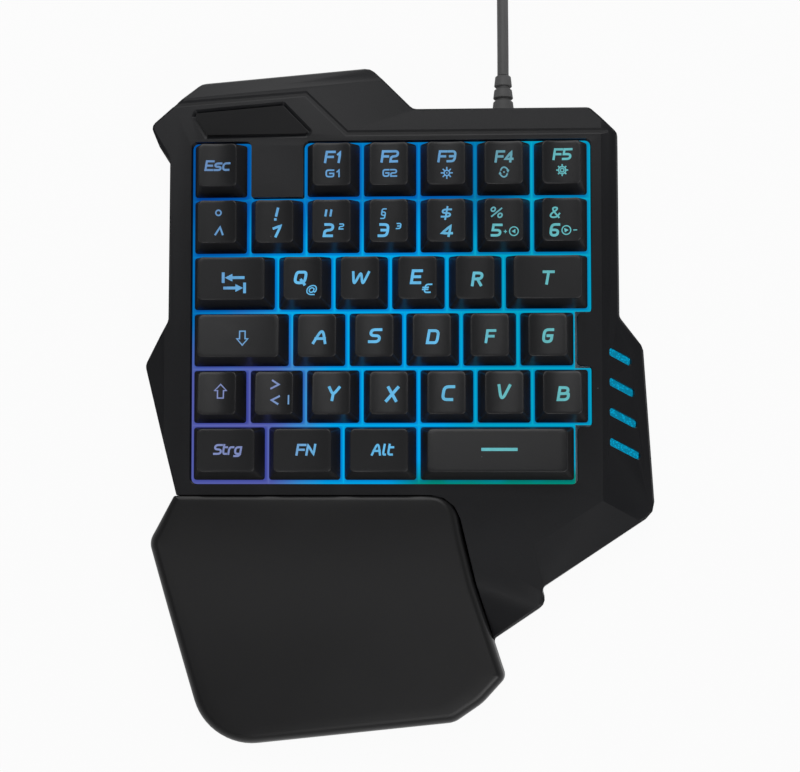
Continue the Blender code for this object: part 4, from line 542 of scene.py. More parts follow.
class KeypadColours(bpy.types.PropertyGroup):
    """Colours of the plastics and of the backlight."""

    case: FloatVectorProperty(
        name="Housing",
        description="Matt charcoal of both shells",
        default=(0.0170, 0.0174, 0.0200),
        subtype="COLOR",
    )
    palm: FloatVectorProperty(
        name="Palm rest",
        description="Warmer charcoal of the rest",
        default=(0.0170, 0.0168, 0.0178),
        subtype="COLOR",
    )
    cap: FloatVectorProperty(
        name="Keycaps",
        description="Black of the caps",
        default=(0.0068, 0.0072, 0.0092),
        subtype="COLOR",
    )
    light_middle: FloatVectorProperty(
        name="Backlight",
        description="Backlight in the middle",
        default=(0.0, 0.42, 0.82),
        subtype="COLOR",
    )
    light_left: FloatVectorProperty(
        name="Backlight, left",
        description="Backlight along the left side",
        default=(0.0, 0.185, 0.51),
        subtype="COLOR",
    )
    light_corner: FloatVectorProperty(
        name="Backlight, corner",
        description="Backlight at the front left",
        default=(0.110, 0.130, 0.43),
        subtype="COLOR",
    )
    light_right: FloatVectorProperty(
        name="Backlight, right",
        description="Backlight along the right side",
        default=(0.0, 0.41, 0.60),
        subtype="COLOR",
    )
    light_front: FloatVectorProperty(
        name="Backlight, front",
        description="Backlight at the front right",
        default=(0.0, 0.29, 0.20),
        subtype="COLOR",
    )


# Helpers for meshes


def placed(name, mesh, place=None):
    """A new object for a mesh, with its place in the mesh and its own matrix left plain."""
    if place is not None:
        mesh.transform(place)
    made = bpy.data.objects.new(name, mesh)
    bpy.context.scene.collection.objects.link(made)
    return made


def mesh_of(name, bm):
    """A new mesh from a bmesh, which is freed."""
    mesh = bpy.data.meshes.new(name)
    bm.to_mesh(mesh)
    bm.free()
    return mesh


def applied(made, modifier):
    """A plain mesh of an object with its modifier, which is taken off."""
    bpy.context.view_layer.update()
    mesh = bpy.data.meshes.new_from_object(made.evaluated_get(bpy.context.evaluated_depsgraph_get()))
    made.modifiers.remove(modifier)
    return mesh


def finished(name, bm, look, body, place=None, sharp_deg=SHARP, replaces=()):
    """Turn a closed bmesh into a piece that rides on a body, with its material."""
    bmesh.ops.recalc_face_normals(bm, faces=bm.faces)
    return dressed(placed(name, mesh_of(name, bm), place), look, body, sharp_deg, replaces)


def dressed(made, look, body, sharp_deg=SHARP, replaces=()):
    """Give a piece its material, smoothness, body and the nodes that it stands for."""
    if look is not None:
        made.data.materials.clear()
        made.data.materials.append(look)
    if sharp_deg is not None:
        made.data.shade_smooth()
        made.data.set_sharp_from_angle(angle=math.radians(sharp_deg))
    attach(made, body)
    if replaces:
        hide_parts(*replaces)
    return made


def ring(bm, points, heights):
    """A closed row of vertices; heights is one height or one for each point."""
    if isinstance(heights, float):
        heights = [heights] * len(points)
    return [bm.verts.new((x, y, z)) for (x, y), z in zip(points, heights)]


def bridge(bm, low, high):
    """Quads between two rows of equal length."""
    for i, vert in enumerate(low):
        j = (i + 1) % len(low)
        bm.faces.new((vert, low[j], high[j], high[i]))


def loft(bm, rows, closed=True):
    """Bridge rows one after the other; the ends are closed with one face each."""
    for low, high in zip(rows, rows[1:]):
        bridge(bm, low, high)
    if closed:
        bm.faces.new(rows[0][::-1])
        bm.faces.new(rows[-1])


def fan(bm, row, centre):
    """Triangles from a row to one vertex."""
    for i, vert in enumerate(row):
        bm.faces.new((vert, row[(i + 1) % len(row)], centre))


def sleeve(bm, near, far):
    """A solid with a hole through it, between two pairs of an outer and an inner row."""
    (outer0, inner0), (outer1, inner1) = near, far
    bridge(bm, outer0, outer1)
    bridge(bm, inner1, inner0)
    bridge(bm, inner0, outer0)
    bridge(bm, outer1, inner1)


def wheel(radius, count, start=0.0, centre=(0.0, 0.0)):
    """Points round a circle, counter-clockwise."""
    angles = [start + 2 * math.pi * k / count for k in range(count)]
    return [(centre[0] + radius * math.cos(a), centre[1] + radius * math.sin(a)) for a in angles]


def lathe(bm, profile, count, centre=(0.0, 0.0)):
    """A turned solid about an upright axis, from (radius, height) pairs."""
    loft(bm, [ring(bm, wheel(radius, count, 0.0, centre), z) for radius, z in profile])


def plan_ring(x0, x1, y0, y1, radius, across=CAP_ACROSS_STEPS, along=CAP_ALONG_STEPS):
    """A rounded rectangle, counter-clockwise, with the same count of points whatever its size."""
    left, right, front, rear = x0 + radius, x1 - radius, y0 + radius, y1 - radius
    middles = ((right, front), (right, rear), (left, rear), (left, front))
    points = []
    for k, (cx, cy) in enumerate(middles):
        for j in range(CAP_CORNER_STEPS + 1):
            angle = math.pi / 2 * (k - 1 + j / CAP_CORNER_STEPS)
            points.append(Vector((cx + radius * math.cos(angle), cy + radius * math.sin(angle))))
        angle = math.pi / 2 * k
        spoke = Vector((math.cos(angle), math.sin(angle))) * radius
        start, end = points[-1], Vector(middles[(k + 1) % 4]) + spoke
        steps = along if k % 2 == 0 else across
        points += [start.lerp(end, j / steps) for j in range(1, steps)]
    return [tuple(p) for p in points]


def even_ring(half_x, half_y, radius):
    """A rounded rectangle about its middle."""
    return plan_ring(-half_x, half_x, -half_y, half_y, radius)


def corner_runs(corners):
    """For each corner of an outline: its place, its round, and the directions before and after it."""
    spots = [Vector(corner[:2]) for corner in corners]
    for i, here in enumerate(spots):
        after = spots[(i + 1) % len(spots)]
        yield here, corners[i][2], (here - spots[i - 1]).normalized(), (after - here).normalized()


def quarter(steps):
    """Along a quarter round, shares of its radius in from the side and down from the top."""
    for k in range(steps + 1):
        angle = math.pi / 2 * k / steps
        yield 1.0 - math.cos(angle), 1.0 - math.sin(angle)


def inset_corners(corners, inset):
    """Move every side of an outline inwards by the same amount, keeping its rounds concentric."""
    moved = []
    for here, radius, before, after in corner_runs(corners):
        turn = before.x * after.y - before.y * after.x
        normal_sum = Vector((-before.y - after.y, before.x + after.x))
        point = here + normal_sum * (inset / (1.0 + before.dot(after)))
        kept = radius - inset if turn > 0 else radius + inset
        moved.append((point.x, point.y, max(kept, radius * LEAST_ROUND_SHARE)))
    return moved


def rounded(corners, arc_step_deg, straights):
    """Points along an outline: an arc at each corner, and each straight run in a set count of parts."""
    points = []
    for i, (here, radius, before, after) in enumerate(corner_runs(corners)):
        turn = math.atan2(before.x * after.y - before.y * after.x, before.dot(after))
        steps = max(1, round(abs(math.degrees(turn)) / arc_step_deg))
        side = 1.0 if turn > 0 else -1.0
        start = here - before * radius * math.tan(abs(turn) / 2)
        centre = start + Vector((-before.y, before.x)) * radius * side
        if points:
            points += [points[-1].lerp(start, k / straights[i - 1]) for k in range(1, straights[i - 1])]
        for k in range(steps + 1):
            points.append(centre + Matrix.Rotation(turn * k / steps, 2) @ (start - centre))
    points += [points[-1].lerp(points[0], k / straights[-1]) for k in range(1, straights[-1])]
    return [tuple(p) for p in points]


def softened(node, name, look, width):
    """A node's shape with small rounds along its edges and flat faces kept flat, standing for the node."""
    bm = bmesh.new()
    bm.from_mesh(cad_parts[node].data)
    bmesh.ops.remove_doubles(bm, verts=bm.verts, dist=MERGE_REACH)
    bmesh.ops.dissolve_limit(bm, angle_limit=FLAT_MOST, verts=bm.verts, edges=bm.edges)
    folds = [
        edge
        for edge in bm.edges
        if edge.calc_length() > FOLD_LENGTH and FOLD_LEAST < edge.calc_face_angle(0.0) < FOLD_MOST
    ]
    shape = {"offset": FOLD_WIDTH, "segments": 4, "profile": 0.5, "clamp_overlap": True}
    bmesh.ops.bevel(bm, geom=folds, affect="EDGES", **shape)
    made = placed(name, mesh_of(name, bm))
    bevel = made.modifiers.new("edge rounds", "BEVEL")
    bevel.width = width
    bevel.segments = 2
    bevel.limit_method = "ANGLE"
    bevel.angle_limit = EDGE_LEAST
    made.data = applied(made, bevel)
    made.modifiers.new("flat faces", "WEIGHTED_NORMAL").keep_sharp = True
    return dressed(made, look, CASE, SHARP_ON_SHELLS, (node,))


# Helpers for nodes


class Nodes:
    """A node tree that is built by short calls."""

    def __init__(self, tree):
        self.tree = tree

    def feed(self, socket, value):
        """Link a socket to another one or to each of a list, or set its value."""
        if isinstance(value, bpy.types.NodeSocket):
            self.tree.links.new(value, socket)
        elif isinstance(value, list):
            for item in value:
                self.feed(socket, item)
        elif socket.type == "RGBA" and len(value) == 3:
            socket.default_value = (*value, 1.0)
        else:
            socket.default_value = value

    def fill(self, made, **links):
        """Feed a node's inputs by their names, with an underline for each space."""
        for name, value in links.items():
            self.feed(made.inputs[name.replace("_", " ")], value)
        return made

    def node(self, kind, **links):
        """Add a node and feed its inputs."""
        return self.fill(self.tree.nodes.new(kind), **links)

    def maths(self, operation, first, second=0.0, clamp=False):
        """The result of one Math node."""
        made = self.tree.nodes.new("ShaderNodeMath")
        made.operation = operation
        made.use_clamp = clamp
        self.feed(made.inputs[0], first)
        self.feed(made.inputs[1], second)
        return made.outputs[0]


class Tree(Nodes):
    """A Geometry Nodes tree with named sizes as its inputs."""

    def __init__(self, name, sizes):
        super().__init__(bpy.data.node_groups.new(name, "GeometryNodeTree"))
        add_socket = self.tree.interface.new_socket
        add_socket("Geometry", in_out="INPUT", socket_type="NodeSocketGeometry")
        for size, default in sizes.items():
            kind = "NodeSocketInt" if isinstance(default, int) else VALUE
            add_socket(size, in_out="INPUT", socket_type=kind).default_value = default
        add_socket("Geometry", in_out="OUTPUT", socket_type="NodeSocketGeometry")
        self.given = self.node("NodeGroupInput").outputs

    def vector(self, x=0.0, y=0.0, z=0.0):
        """A vector of three sockets or values."""
        return self.node("ShaderNodeCombineXYZ", X=x, Y=y, Z=z).outputs[0]

    def moved(self, geometry, **links):
        """Geometry through one Transform node."""
        return self.node("GeometryNodeTransform", Geometry=geometry, **links).outputs[0]

    def finish(self, points, shape, look):
        """End the tree in one shape on each point, as real geometry with its material."""
        many = self.node("GeometryNodeInstanceOnPoints", Points=points.outputs[0], Instance=shape)
        real = self.node("GeometryNodeRealizeInstances", Geometry=many.outputs[0])
        coat = self.node("GeometryNodeSetMaterial", Geometry=real.outputs[0], Material=look)
        self.feed(self.tree.nodes.new("NodeGroupOutput").inputs[0], coat.outputs[0])
        return self.tree


def grown(name, group, sizes, place=None, base=None, sharp_deg=SHARP):
    """Evaluate a tree with its sizes on a base mesh, and keep the result as a plain piece on the case."""
    source = placed(name + ".source", base or bpy.data.meshes.new(name + ".base"))
    modifier = source.modifiers.new(group.name, "NODES")
    modifier.node_group = group
    for item in group.interface.items_tree:
        if item.in_out == "INPUT" and item.name in sizes:
            modifier[item.identifier] = sizes[item.name]
    mesh = applied(source, modifier)
    mesh.name = name
    bpy.data.objects.remove(source)
    return dressed(placed(name, mesh, place), None, CASE, sharp_deg)


# Helpers for materials


class Shading(Nodes):
    """The nodes of a material, of the studio's world or of a shader node group."""

    def spot(self, kind="Object"):
        """Where a point lies on its piece, or in which direction."""
        return self.node("ShaderNodeTexCoord").outputs[kind]

    def noise(self, place, scale, detail=2.0, roughness=0.5):
        """A cloudy value about a half."""
        links = {"Vector": place, "Scale": scale, "Detail": detail, "Roughness": roughness}
        return self.node("ShaderNodeTexNoise", **links).outputs[0]

    def swing(self, value, share):
        """A share of a value about a half, moved to lie about zero."""
        return self.maths("MULTIPLY", self.maths("SUBTRACT", value, 0.5), share)

    def ramp(self, factor, stops):
        """A grey ramp over a factor, from (position, grey value) pairs."""
        made = self.node("ShaderNodeValToRGB", Fac=factor)
        elements = made.color_ramp.elements
        while len(elements) < len(stops):
            elements.new(1.0)
        for element, (position, value) in zip(elements, stops):
            element.position = position
            element.color = (value, value, value, 1.0)
        return made.outputs["Color"]

    def mixed(self, factor, first, second, blend="MIX"):
        """The colour between two others."""
        made = self.tree.nodes.new("ShaderNodeMix")
        made.data_type = "RGBA"
        made.blend_type = blend
        for socket, value in zip((made.inputs[0], *made.inputs[6:8]), (factor, first, second)):
            self.feed(socket, value)
        return made.outputs[2]

    def times(self, first, second):
        """The product of two colours."""
        return self.mixed(1.0, first, second, "MULTIPLY")

    def group(self, tree, **links):
        """Add a node group and feed its inputs."""
        made = self.tree.nodes.new("ShaderNodeGroup")
        made.node_tree = tree
        return self.fill(made, **links).outputs


class Finish(Shading):
    """A material round one Principled shader."""

    def __init__(self, name):
        self.material = bpy.data.materials.new(name)
        self.material.use_nodes = True
        super().__init__(self.material.node_tree)
        self.shader = self.tree.nodes["Principled BSDF"]

    def coat(self, **links):
        """Feed the shader's inputs by their names, and give the material."""
        self.fill(self.shader, **links)
        return self.material


def new_group(name, inputs, outputs):
    """A shader node group with its named sockets: its nodes, what it is given and what it puts out."""
    tree = bpy.data.node_groups.new(name, "ShaderNodeTree")
    for way, sockets in (("INPUT", inputs), ("OUTPUT", outputs)):
        for socket, kind in sockets.items():
            tree.interface.new_socket(socket, in_out=way, socket_type=kind)
    return Shading(tree), tree.nodes.new("NodeGroupInput").outputs, tree.nodes.new("NodeGroupOutput")


@cache
def moulded_surface():
    """Spark-eroded grain, slow mottling and a little settled dust on a moulded plastic."""
    inputs = {"Colour": COLOUR, "Roughness": VALUE, "Grain per metre": VALUE, "Mottle": VALUE, "Dust": VALUE}
    outputs = {"Colour": COLOUR, "Roughness": VALUE, "Height": VALUE}
    paint, given, wanted = new_group("Moulded surface", inputs, outputs)
    place = paint.spot()
    grain = paint.noise(place, given["Grain per metre"], 2.0, GRAIN_HARSHNESS)
    shade = paint.swing(paint.noise(place, CLOUDS_PER_METRE, 4.0, CLOUD_HARSHNESS), CLOUD_SHARE)
    level = paint.maths("ADD", paint.maths("ADD", shade, paint.swing(grain, given["Mottle"])), 1.0)
    darkened = paint.node("ShaderNodeVectorMath", Vector=given["Colour"])
    darkened.operation = "SCALE"
    paint.fill(darkened, Scale=level)
    specks = paint.node("ShaderNodeTexVoronoi", Vector=place, Scale=SPECKS_PER_METRE)
    near = paint.maths("LESS_THAN", specks.outputs["Distance"], SPECK_REACH)
    some = paint.maths("GREATER_THAN", paint.noise(place, PATCHES_PER_METRE), SPECK_PATCH_LEAST)
    dusty = paint.maths("MULTIPLY", paint.maths("MULTIPLY", near, some), given["Dust"])
    polish = paint.maths("ADD", given["Roughness"], paint.maths("MULTIPLY", shade, POLISH_SHARE), clamp=True)
    colour = paint.mixed(dusty, darkened.outputs[0], DUST_COLOUR)
    paint.fill(wanted, Colour=colour, Roughness=polish, Height=grain)
    return paint.tree


@cache
def light_field():
    """Colour of the backlight over the key field, from its violet corner to its green one."""
    inputs = dict.fromkeys(("Middle", "Left", "Corner", "Right", "Front"), COLOUR)
    paint, given, wanted = new_group("Backlight field", inputs, {"Colour": COLOUR})
    place = paint.spot()
    parts = paint.node("ShaderNodeSeparateXYZ", Vector=place).outputs
    sway = paint.swing(paint.noise(place, SWAYS_PER_METRE), SWAY)

    def span(axis, start, end):
        """How far along an axis a point lies between two places, with a little sway."""
        swayed = paint.maths("ADD", parts[axis], sway)
        made = paint.node("ShaderNodeMapRange", Value=swayed, From_Min=start * MM, From_Max=end * MM)
        made.interpolation_type = "SMOOTHSTEP"
        return made.outputs[0]

    def both(spans):
        """Where a point lies within two spans at once."""
        return paint.maths("MULTIPLY", span(*spans[0]), span(*spans[1]))

    shade = paint.mixed(span(*LEFT_SPAN), given["Middle"], given["Left"])
    shade = paint.mixed(span(*RIGHT_SPAN), shade, given["Right"])
    shade = paint.mixed(both(CORNER_SPANS), shade, given["Corner"])
    shade = paint.mixed(both(FRONT_SPANS), shade, given["Front"])
    dimmed = paint.mixed(both(DIM_SPANS), (1.0, 1.0, 1.0), DIM_COLOUR)
    paint.fill(wanted, Colour=paint.times(shade, dimmed))
    return paint.tree


def backlight(paint, colours, blue_share=1.0):
    """The backlight's colour, as a socket inside a material, with a share of the blue to the right."""
    values = {"Middle": colours.light_middle, "Left": colours.light_left, "Corner": colours.light_corner}
    for side, (red, green, blue) in (("Right", colours.light_right), ("Front", colours.light_front)):
        values[side] = (red, green, blue * blue_share)
    return paint.group(light_field(), **values)["Colour"]


def plastic(name, colour, roughness, grain, mottle, dust, bump, specular, sides=None):
    """A moulded plastic or rubber with its grain; for some, painted light lightens its steep sides."""
    paint = Finish(name)
    values = {"Colour": colour, "Roughness": roughness, "Mottle": mottle, "Dust": dust}
    surface = paint.group(moulded_surface(), Grain_per_metre=grain, **values)
    relief = paint.node("ShaderNodeBump", Height=surface["Height"], Strength=bump, Distance=GRAIN_DEPTH)
    base = surface["Colour"]
    # Painted light: faces that point less upward take a lighter colour, standing in for light the sides lack
    if sides:
        facing = paint.node("ShaderNodeNewGeometry").outputs["Normal"]
        upward = paint.node("ShaderNodeSeparateXYZ", Vector=facing).outputs["Z"]
        base = paint.mixed(paint.ramp(upward, STEEP_PAINTED_LIGHT_STOPS), base, sides)
    return paint.coat(
        Base_Color=base, Roughness=surface["Roughness"], Normal=relief.outputs[0], Specular_IOR_Level=specular
    )


def metal(name, colour, roughness, brush):
    """A plated or drawn metal with fine lines along one direction."""
    paint = Finish(name)
    stretched = paint.node("ShaderNodeMapping", Vector=paint.spot(), Scale=brush)
    lines = paint.noise(stretched.outputs[0], LINE_SCALE, 3.0)
    tone = paint.times(paint.ramp(lines, LINE_TONES), colour)
    low, high = (roughness * share for share in LINE_SHINE)
    spread = paint.node("ShaderNodeMapRange", Value=lines, To_Min=low, To_Max=high)
    return paint.coat(Base_Color=tone, Roughness=spread.outputs[0], Metallic=1.0)


def lit_lattice(colours):
    """The backlit film: brightest along the gaps, with painted shade that deepens it under the caps' skirts.
    """
    paint = Finish("Backlit film")
    core = paint.node("ShaderNodeAttribute")
    core.attribute_name = "core"
    bright = backlight(paint, colours)
    # Painted shade: the glow darkens to a deeper blue under the caps' skirts, away from the gaps' core
    glow = paint.mixed(core.outputs["Fac"], paint.times(bright, FILM_PAINTED_SHADE_TINT), bright)
    seen = paint.node("ShaderNodeLightPath").outputs["Is Camera Ray"]
    cast = paint.maths("MAXIMUM", seen, FILM_CAST_SHARE)
    base = paint.mixed(paint.noise(paint.spot(), FILM_CLOUDS_PER_METRE), *FILM_BASE)
    return paint.coat(
        Emission_Color=glow, Emission_Strength=cast, Base_Color=base, Roughness=0.5, Specular_IOR_Level=0.1
    )


def lit_legend(colours):
    """Laser-cut legends that the backlight shines through, a little paler than the gaps."""
    paint = Finish("Lit legend")
    hue = paint.mixed(LEGEND_PALE_SHARE, backlight(paint, colours, LEGEND_BLUE_SHARE), LEGEND_PALE_COLOUR)
    patch = paint.noise(paint.spot(), LEGEND_CLOUDS_PER_METRE, 3.0)
    glow = paint.times(hue, paint.ramp(patch, LEGEND_TONES))
    base = paint.mixed(patch, *LEGEND_BASE)
    return paint.coat(Emission_Color=glow, Emission_Strength=1.0, Base_Color=base, Roughness=0.45)


def lit_lens():
    """Prismatic lens behind the side slots."""
    paint = Finish("Lit lens")
    cells = paint.node("ShaderNodeTexVoronoi", Vector=paint.spot(), Scale=LENS_CELLS_PER_METRE)
    patch = cells.outputs["Distance"]
    glow = paint.times(LENS_COLOUR, paint.ramp(patch, LENS_TONES))
    base = paint.mixed(patch, *LENS_BASE)
    return paint.coat(
        Emission_Color=glow, Emission_Strength=1.0, Base_Color=base, Roughness=0.4, Specular_IOR_Level=0.1
    )


def patterned(name, first, second, scale, roughness, pattern="ShaderNodeTexBrick", transmission=0.0):
    """Two colours in a regular pattern, for the parts inside."""
    paint = Finish(name)
    texture = paint.node(pattern, Vector=paint.spot(), Scale=scale)
    mask = texture.outputs["Fac"] if "Fac" in texture.outputs else texture.outputs["Distance"]
    base = paint.mixed(paint.ramp(mask, PATTERN_STOPS), first, second)
    return paint.coat(Base_Color=base, Roughness=roughness, Transmission_Weight=transmission)


@cache
def looks():
    """Every finish of the keypad by its plain name."""
    colours = bpy.context.scene.keypad_colours
    made = {"lattice": lit_lattice(colours), "legend": lit_legend(colours), "lens": lit_lens()}
    for key, (name, colour, *values) in PLASTICS.items():
        made[key] = plastic(name, getattr(colours, key, colour), *values)
    made |= {key: metal(*values) for key, values in METALS.items()}
    made |= {key: patterned(*values) for key, values in PATTERNED.items()}
    return made


# Cord and its pieces


def smooth(share):
    """A smooth step from 0 to 1."""
    share = min(max(share, 0.0), 1.0)
    return share * share * (3.0 - 2.0 * share)


def run_points():
    """The free cord from the strain relief, down to the desk and back to the coil."""
    start = RELIEF_TIP_Y + GAP
    end = COIL_CENTRE.y - GAP
    rest = CORD_DIAMETER / 2
    count = max(4, round((end - start) / CORD_POINT_SPACING))
    points = []
    for k in range(count + 1):
        y = start + (end - start) * k / count
        fall = smooth((y - start - CORD_DIAMETER) / CORD_FALL)
        points.append((RELIEF_X, y, RELIEF_HEIGHT + (rest - RELIEF_HEIGHT) * fall))
    return points


def coil_points():
    """Two layers of turns, in and out again, and a tail that leads to the plug."""
    rest = CORD_DIAMETER / 2
    half = COIL_TURNS / 2
    points = []
    for k in range(round(COIL_TURNS * COIL_LOOP_POINTS) + 1):
        turns = k / COIL_LOOP_POINTS
        radius = COIL_INNER_RADIUS + COIL_STEP * abs(turns - half)
        climb = smooth((turns - half) / COIL_CLIMB_TURNS + 0.5)
        angle = 2 * math.pi * turns
        x = COIL_CENTRE.x + radius * math.cos(angle)
        y = COIL_CENTRE.y + radius * math.sin(angle)
        points.append((x, y, rest + COIL_LAYER_STEP * climb))
    x, y, z = points[-1]
    axis = PLUG_HEIGHT / 2
    for k in range(1, TAIL_STEPS + 1):
        share = k / TAIL_STEPS
        points.append((x - TAIL_RUN * share, y, z + (axis - z) * smooth(share)))
    points.append((x - TAIL_RUN - TAIL_STRAIGHT, y, axis))
    return points


def plug_place():
    """Frame at the cord's end, with Z along the plug."""
    x, y, z = coil_points()[-1]
    turn = Matrix.Rotation(-math.pi / 2, 4, "Z") @ Matrix.Rotation(math.pi / 2, 4, "X")
    return CASE_PLACE @ Matrix.Translation((x - GAP, y, z)) @ turn


def cord_curve(look, sides):
    """The whole cord as one open spline."""
    points = run_points() + coil_points()
    data = bpy.data.curves.new("cord", "CURVE")
    data.dimensions = "3D"
    spline = data.splines.new("POLY")
    spline.points.add(len(points) - 1)
    for point, place in zip(spline.points, points):
        point.co = (*(CASE_PLACE @ Vector(place)), 1.0)
    data.bevel_depth = CORD_DIAMETER / 2
    data.bevel_resolution = sides
    data.use_fill_caps = True
    data.materials.append(look)
    spline.use_smooth = True
    made = bpy.data.objects.new("cord", data)
    bpy.context.scene.collection.objects.link(made)
    return made


def make_tie(look):
    """A strap round every turn at one side of the coil, with its frame, its height and half its width."""
    rest = CORD_DIAMETER / 2
    inner = COIL_INNER_RADIUS - rest - TIE_CLEARANCE
    outer = COIL_OUTER_RADIUS + rest + TIE_CLEARANCE
    low, high = TIE_CLEARANCE, rest * 2 + COIL_LAYER_STEP + TIE_CLEARANCE
    half_width = (outer - inner) / 2
    height = high + TIE_THICKNESS
    reach = half_width + TIE_THICKNESS
    outside = plan_ring(-reach, reach, 0.0, height, TIE_ROUND)
    inside = plan_ring(-half_width, half_width, low / 2, high, TIE_ROUND - TIE_THICKNESS / 2)
    bm = bmesh.new()
    sleeve(bm, *(
        [[bm.verts.new((x, y, z)) for x, z in points] for points in (outside, inside)]
        for y in (-TIE_WIDTH / 2, TIE_WIDTH / 2)
    ))
    angle = math.radians(TIE_ANGLE_DEG)
    middle = (inner + outer) / 2
    spot = Vector((COIL_CENTRE.x + middle * math.cos(angle), COIL_CENTRE.y + middle * math.sin(angle), 0.0))
    place = CASE_PLACE @ Matrix.Translation(spot) @ Matrix.Rotation(angle, 4, "Z")
    return finished("cord_tie", bm, look, CASE, place), place, height, half_width


def bar_tree(name, look):
    """Rounded bars in a row along X: the tree behind ridges, grip ribs, prisms and contacts."""
    tree = Tree(name, BAR_SIZES)
    given = tree.given
    half_pitch = tree.maths("MULTIPLY", given["Pitch"], -0.5)
    start = tree.maths("MULTIPLY", tree.maths("SUBTRACT", given["Count"], 1.0), half_pitch)
    row = tree.node("GeometryNodeMeshLine", Count=given["Count"])
    row.mode = "OFFSET"
    tree.fill(row, Offset=tree.vector(given["Pitch"]), Start_Location=tree.vector(start))
    bar = tree.node("GeometryNodeMeshCylinder", Vertices=12, Depth=given["Length"], Radius=0.5)
    turned = tree.moved(bar.outputs["Mesh"], Rotation=(math.pi / 2, 0.0, 0.0))
    scale = tree.vector(given["Width"], 1.0, tree.maths("MULTIPLY", given["Rise"], 2.0))
    return tree.finish(row, tree.moved(turned, Scale=scale), look)


def bars(name, tree, slot, place, *sizes):
    """One row of bars on the case, with its count, pitch, length, width and rise."""
    return grown(name, tree, dict(zip(BAR_SIZES, sizes)), place)


def make_plug(look):
    """The plug: a moulded grip with ribs, a folded shell with its latch windows, a tongue and contacts."""
    place = plug_place()
    rise, bevel = PLUG_HEIGHT / 2, PLUG_BEVEL
    half_shell, half_height = SHELL_WIDTH / 2, SHELL_HEIGHT / 2
    inner_x, inner_y = half_shell - SHELL_WALL, half_height - SHELL_WALL
    start_z, end_z = PLUG_LENGTH - SHELL_LENGTH + SHELL_SHOWN, PLUG_LENGTH + SHELL_SHOWN
    floor_z = (start_z + PLUG_LENGTH) / 2

    def section(inset):
        """Outline of the grip, moved in by an amount."""
        return even_ring(PLUG_WIDTH / 2 - inset, rise - inset, bevel - inset / 2)

    first = section(0.0)[0]
    neck = wheel(PLUG_NECK_RADIUS, len(section(0.0)), math.atan2(first[1], first[0]))
    profile = [(neck, 0.0), (neck, PLUG_NECK_LENGTH - bevel)]
    for k in range(1, PLUG_NECK_STEPS):
        share = k / PLUG_NECK_STEPS
        blended = [Vector(a).lerp(Vector(b), smooth(share)) for a, b in zip(neck, section(bevel / 2))]
        profile.append((blended, PLUG_NECK_LENGTH - bevel * (1.0 - share)))
    profile += [(section(bevel / 2 * down), PLUG_NECK_LENGTH + bevel * aside) for aside, down in quarter(4)]
    profile += [(section(bevel / 2 * aside), PLUG_LENGTH - bevel / 2 * down) for aside, down in quarter(4)]
    mouth = even_ring(half_shell + GAP, half_height + GAP, SHELL_WALL * 2)
    profile += [(mouth, PLUG_LENGTH), (mouth, start_z - GAP)]
    outside = even_ring(half_shell, half_height, SHELL_WALL * 2)
    inside = even_ring(inner_x, inner_y, SHELL_WALL)
    folded = [(outside, start_z), (outside, end_z), (inside, end_z), (inside, floor_z)]
    tongue_top = -inner_y + GAP + TONGUE_THICKNESS
    tongue = plan_ring(-inner_x + GAP, inner_x - GAP, -inner_y + GAP, tongue_top, GAP)
    board = [(tongue, floor_z + GAP), (tongue, end_z - 2 * GAP)]
    pieces = []
    for name, rows, finish, slot, stands_for in (
        ("plug_grip", profile, "cord", "cord_jacket", ("usb_plug_body",)),
        ("plug_shell", folded, "plug_steel", "plug_steel", ("usb_plug_shell",)),
        ("plug_tongue", board, "tongue", "plug_steel", ()),
    ):
        bm = bmesh.new()
        loft(bm, [ring(bm, [tuple(p) for p in points], z) for points, z in rows])
        pieces.append(finished(name, bm, look[finish], CASE, place, SHARP, stands_for))
    cut_windows(pieces[1], place, end_z - LATCH_FROM_END)
    seat = Matrix.Translation((0.0, tongue_top, PLUG_LENGTH + SHELL_SHOWN / 2 - GAP))
    turn = Matrix.Rotation(math.pi / 2, 4, "X") @ Matrix.Rotation(math.pi, 4, "Y")
    sizes = (4, CONTACT_PITCH, SHELL_SHOWN - 4 * GAP, CONTACT_WIDTH, CONTACT_RISE)
    contacts = bar_tree("Contact strips", look["gold"])
    pieces.append(bars("plug_contacts", contacts, "plug_steel", place @ seat @ turn, *sizes))
    seat = Matrix.Translation((0.0, rise - PLUG_RIB_RISE, (PLUG_NECK_LENGTH + PLUG_LENGTH) / 2))
    turn = Matrix.Rotation(-math.pi / 2, 4, "X") @ Matrix.Rotation(math.pi / 2, 4, "Z")
    sizes = (PLUG_RIBS, PLUG_RIB_PITCH, PLUG_WIDTH - 3 * bevel, PLUG_RIB_WIDTH, PLUG_RIB_RISE)
    ribs = bar_tree("Grip ribs", look["cord"])
    pieces.append(bars("plug_ribs_top", ribs, "cord_jacket", place @ seat @ turn, *sizes))
    return pieces


def cut_windows(shell, place, z):
    """Two latch windows through the upper and lower wall of the plug's shell."""
    bm = bmesh.new()
    for side in (-1, 1):
        size = Matrix.Diagonal((LATCH_SIDE, SHELL_HEIGHT * 2, LATCH_SIDE, 1.0))
        middle = Matrix.Translation((side * LATCH_SPREAD / 2, 0.0, z))
        bmesh.ops.create_cube(bm, size=1.0, matrix=middle @ size)
    cutter = placed("latch_windows", mesh_of("latch_windows", bm), place)
    modifier = shell.modifiers.new("windows", "BOOLEAN")
    modifier.object = cutter
    shell.data = applied(shell, modifier)
    bpy.data.objects.remove(cutter)


# Keys and legends


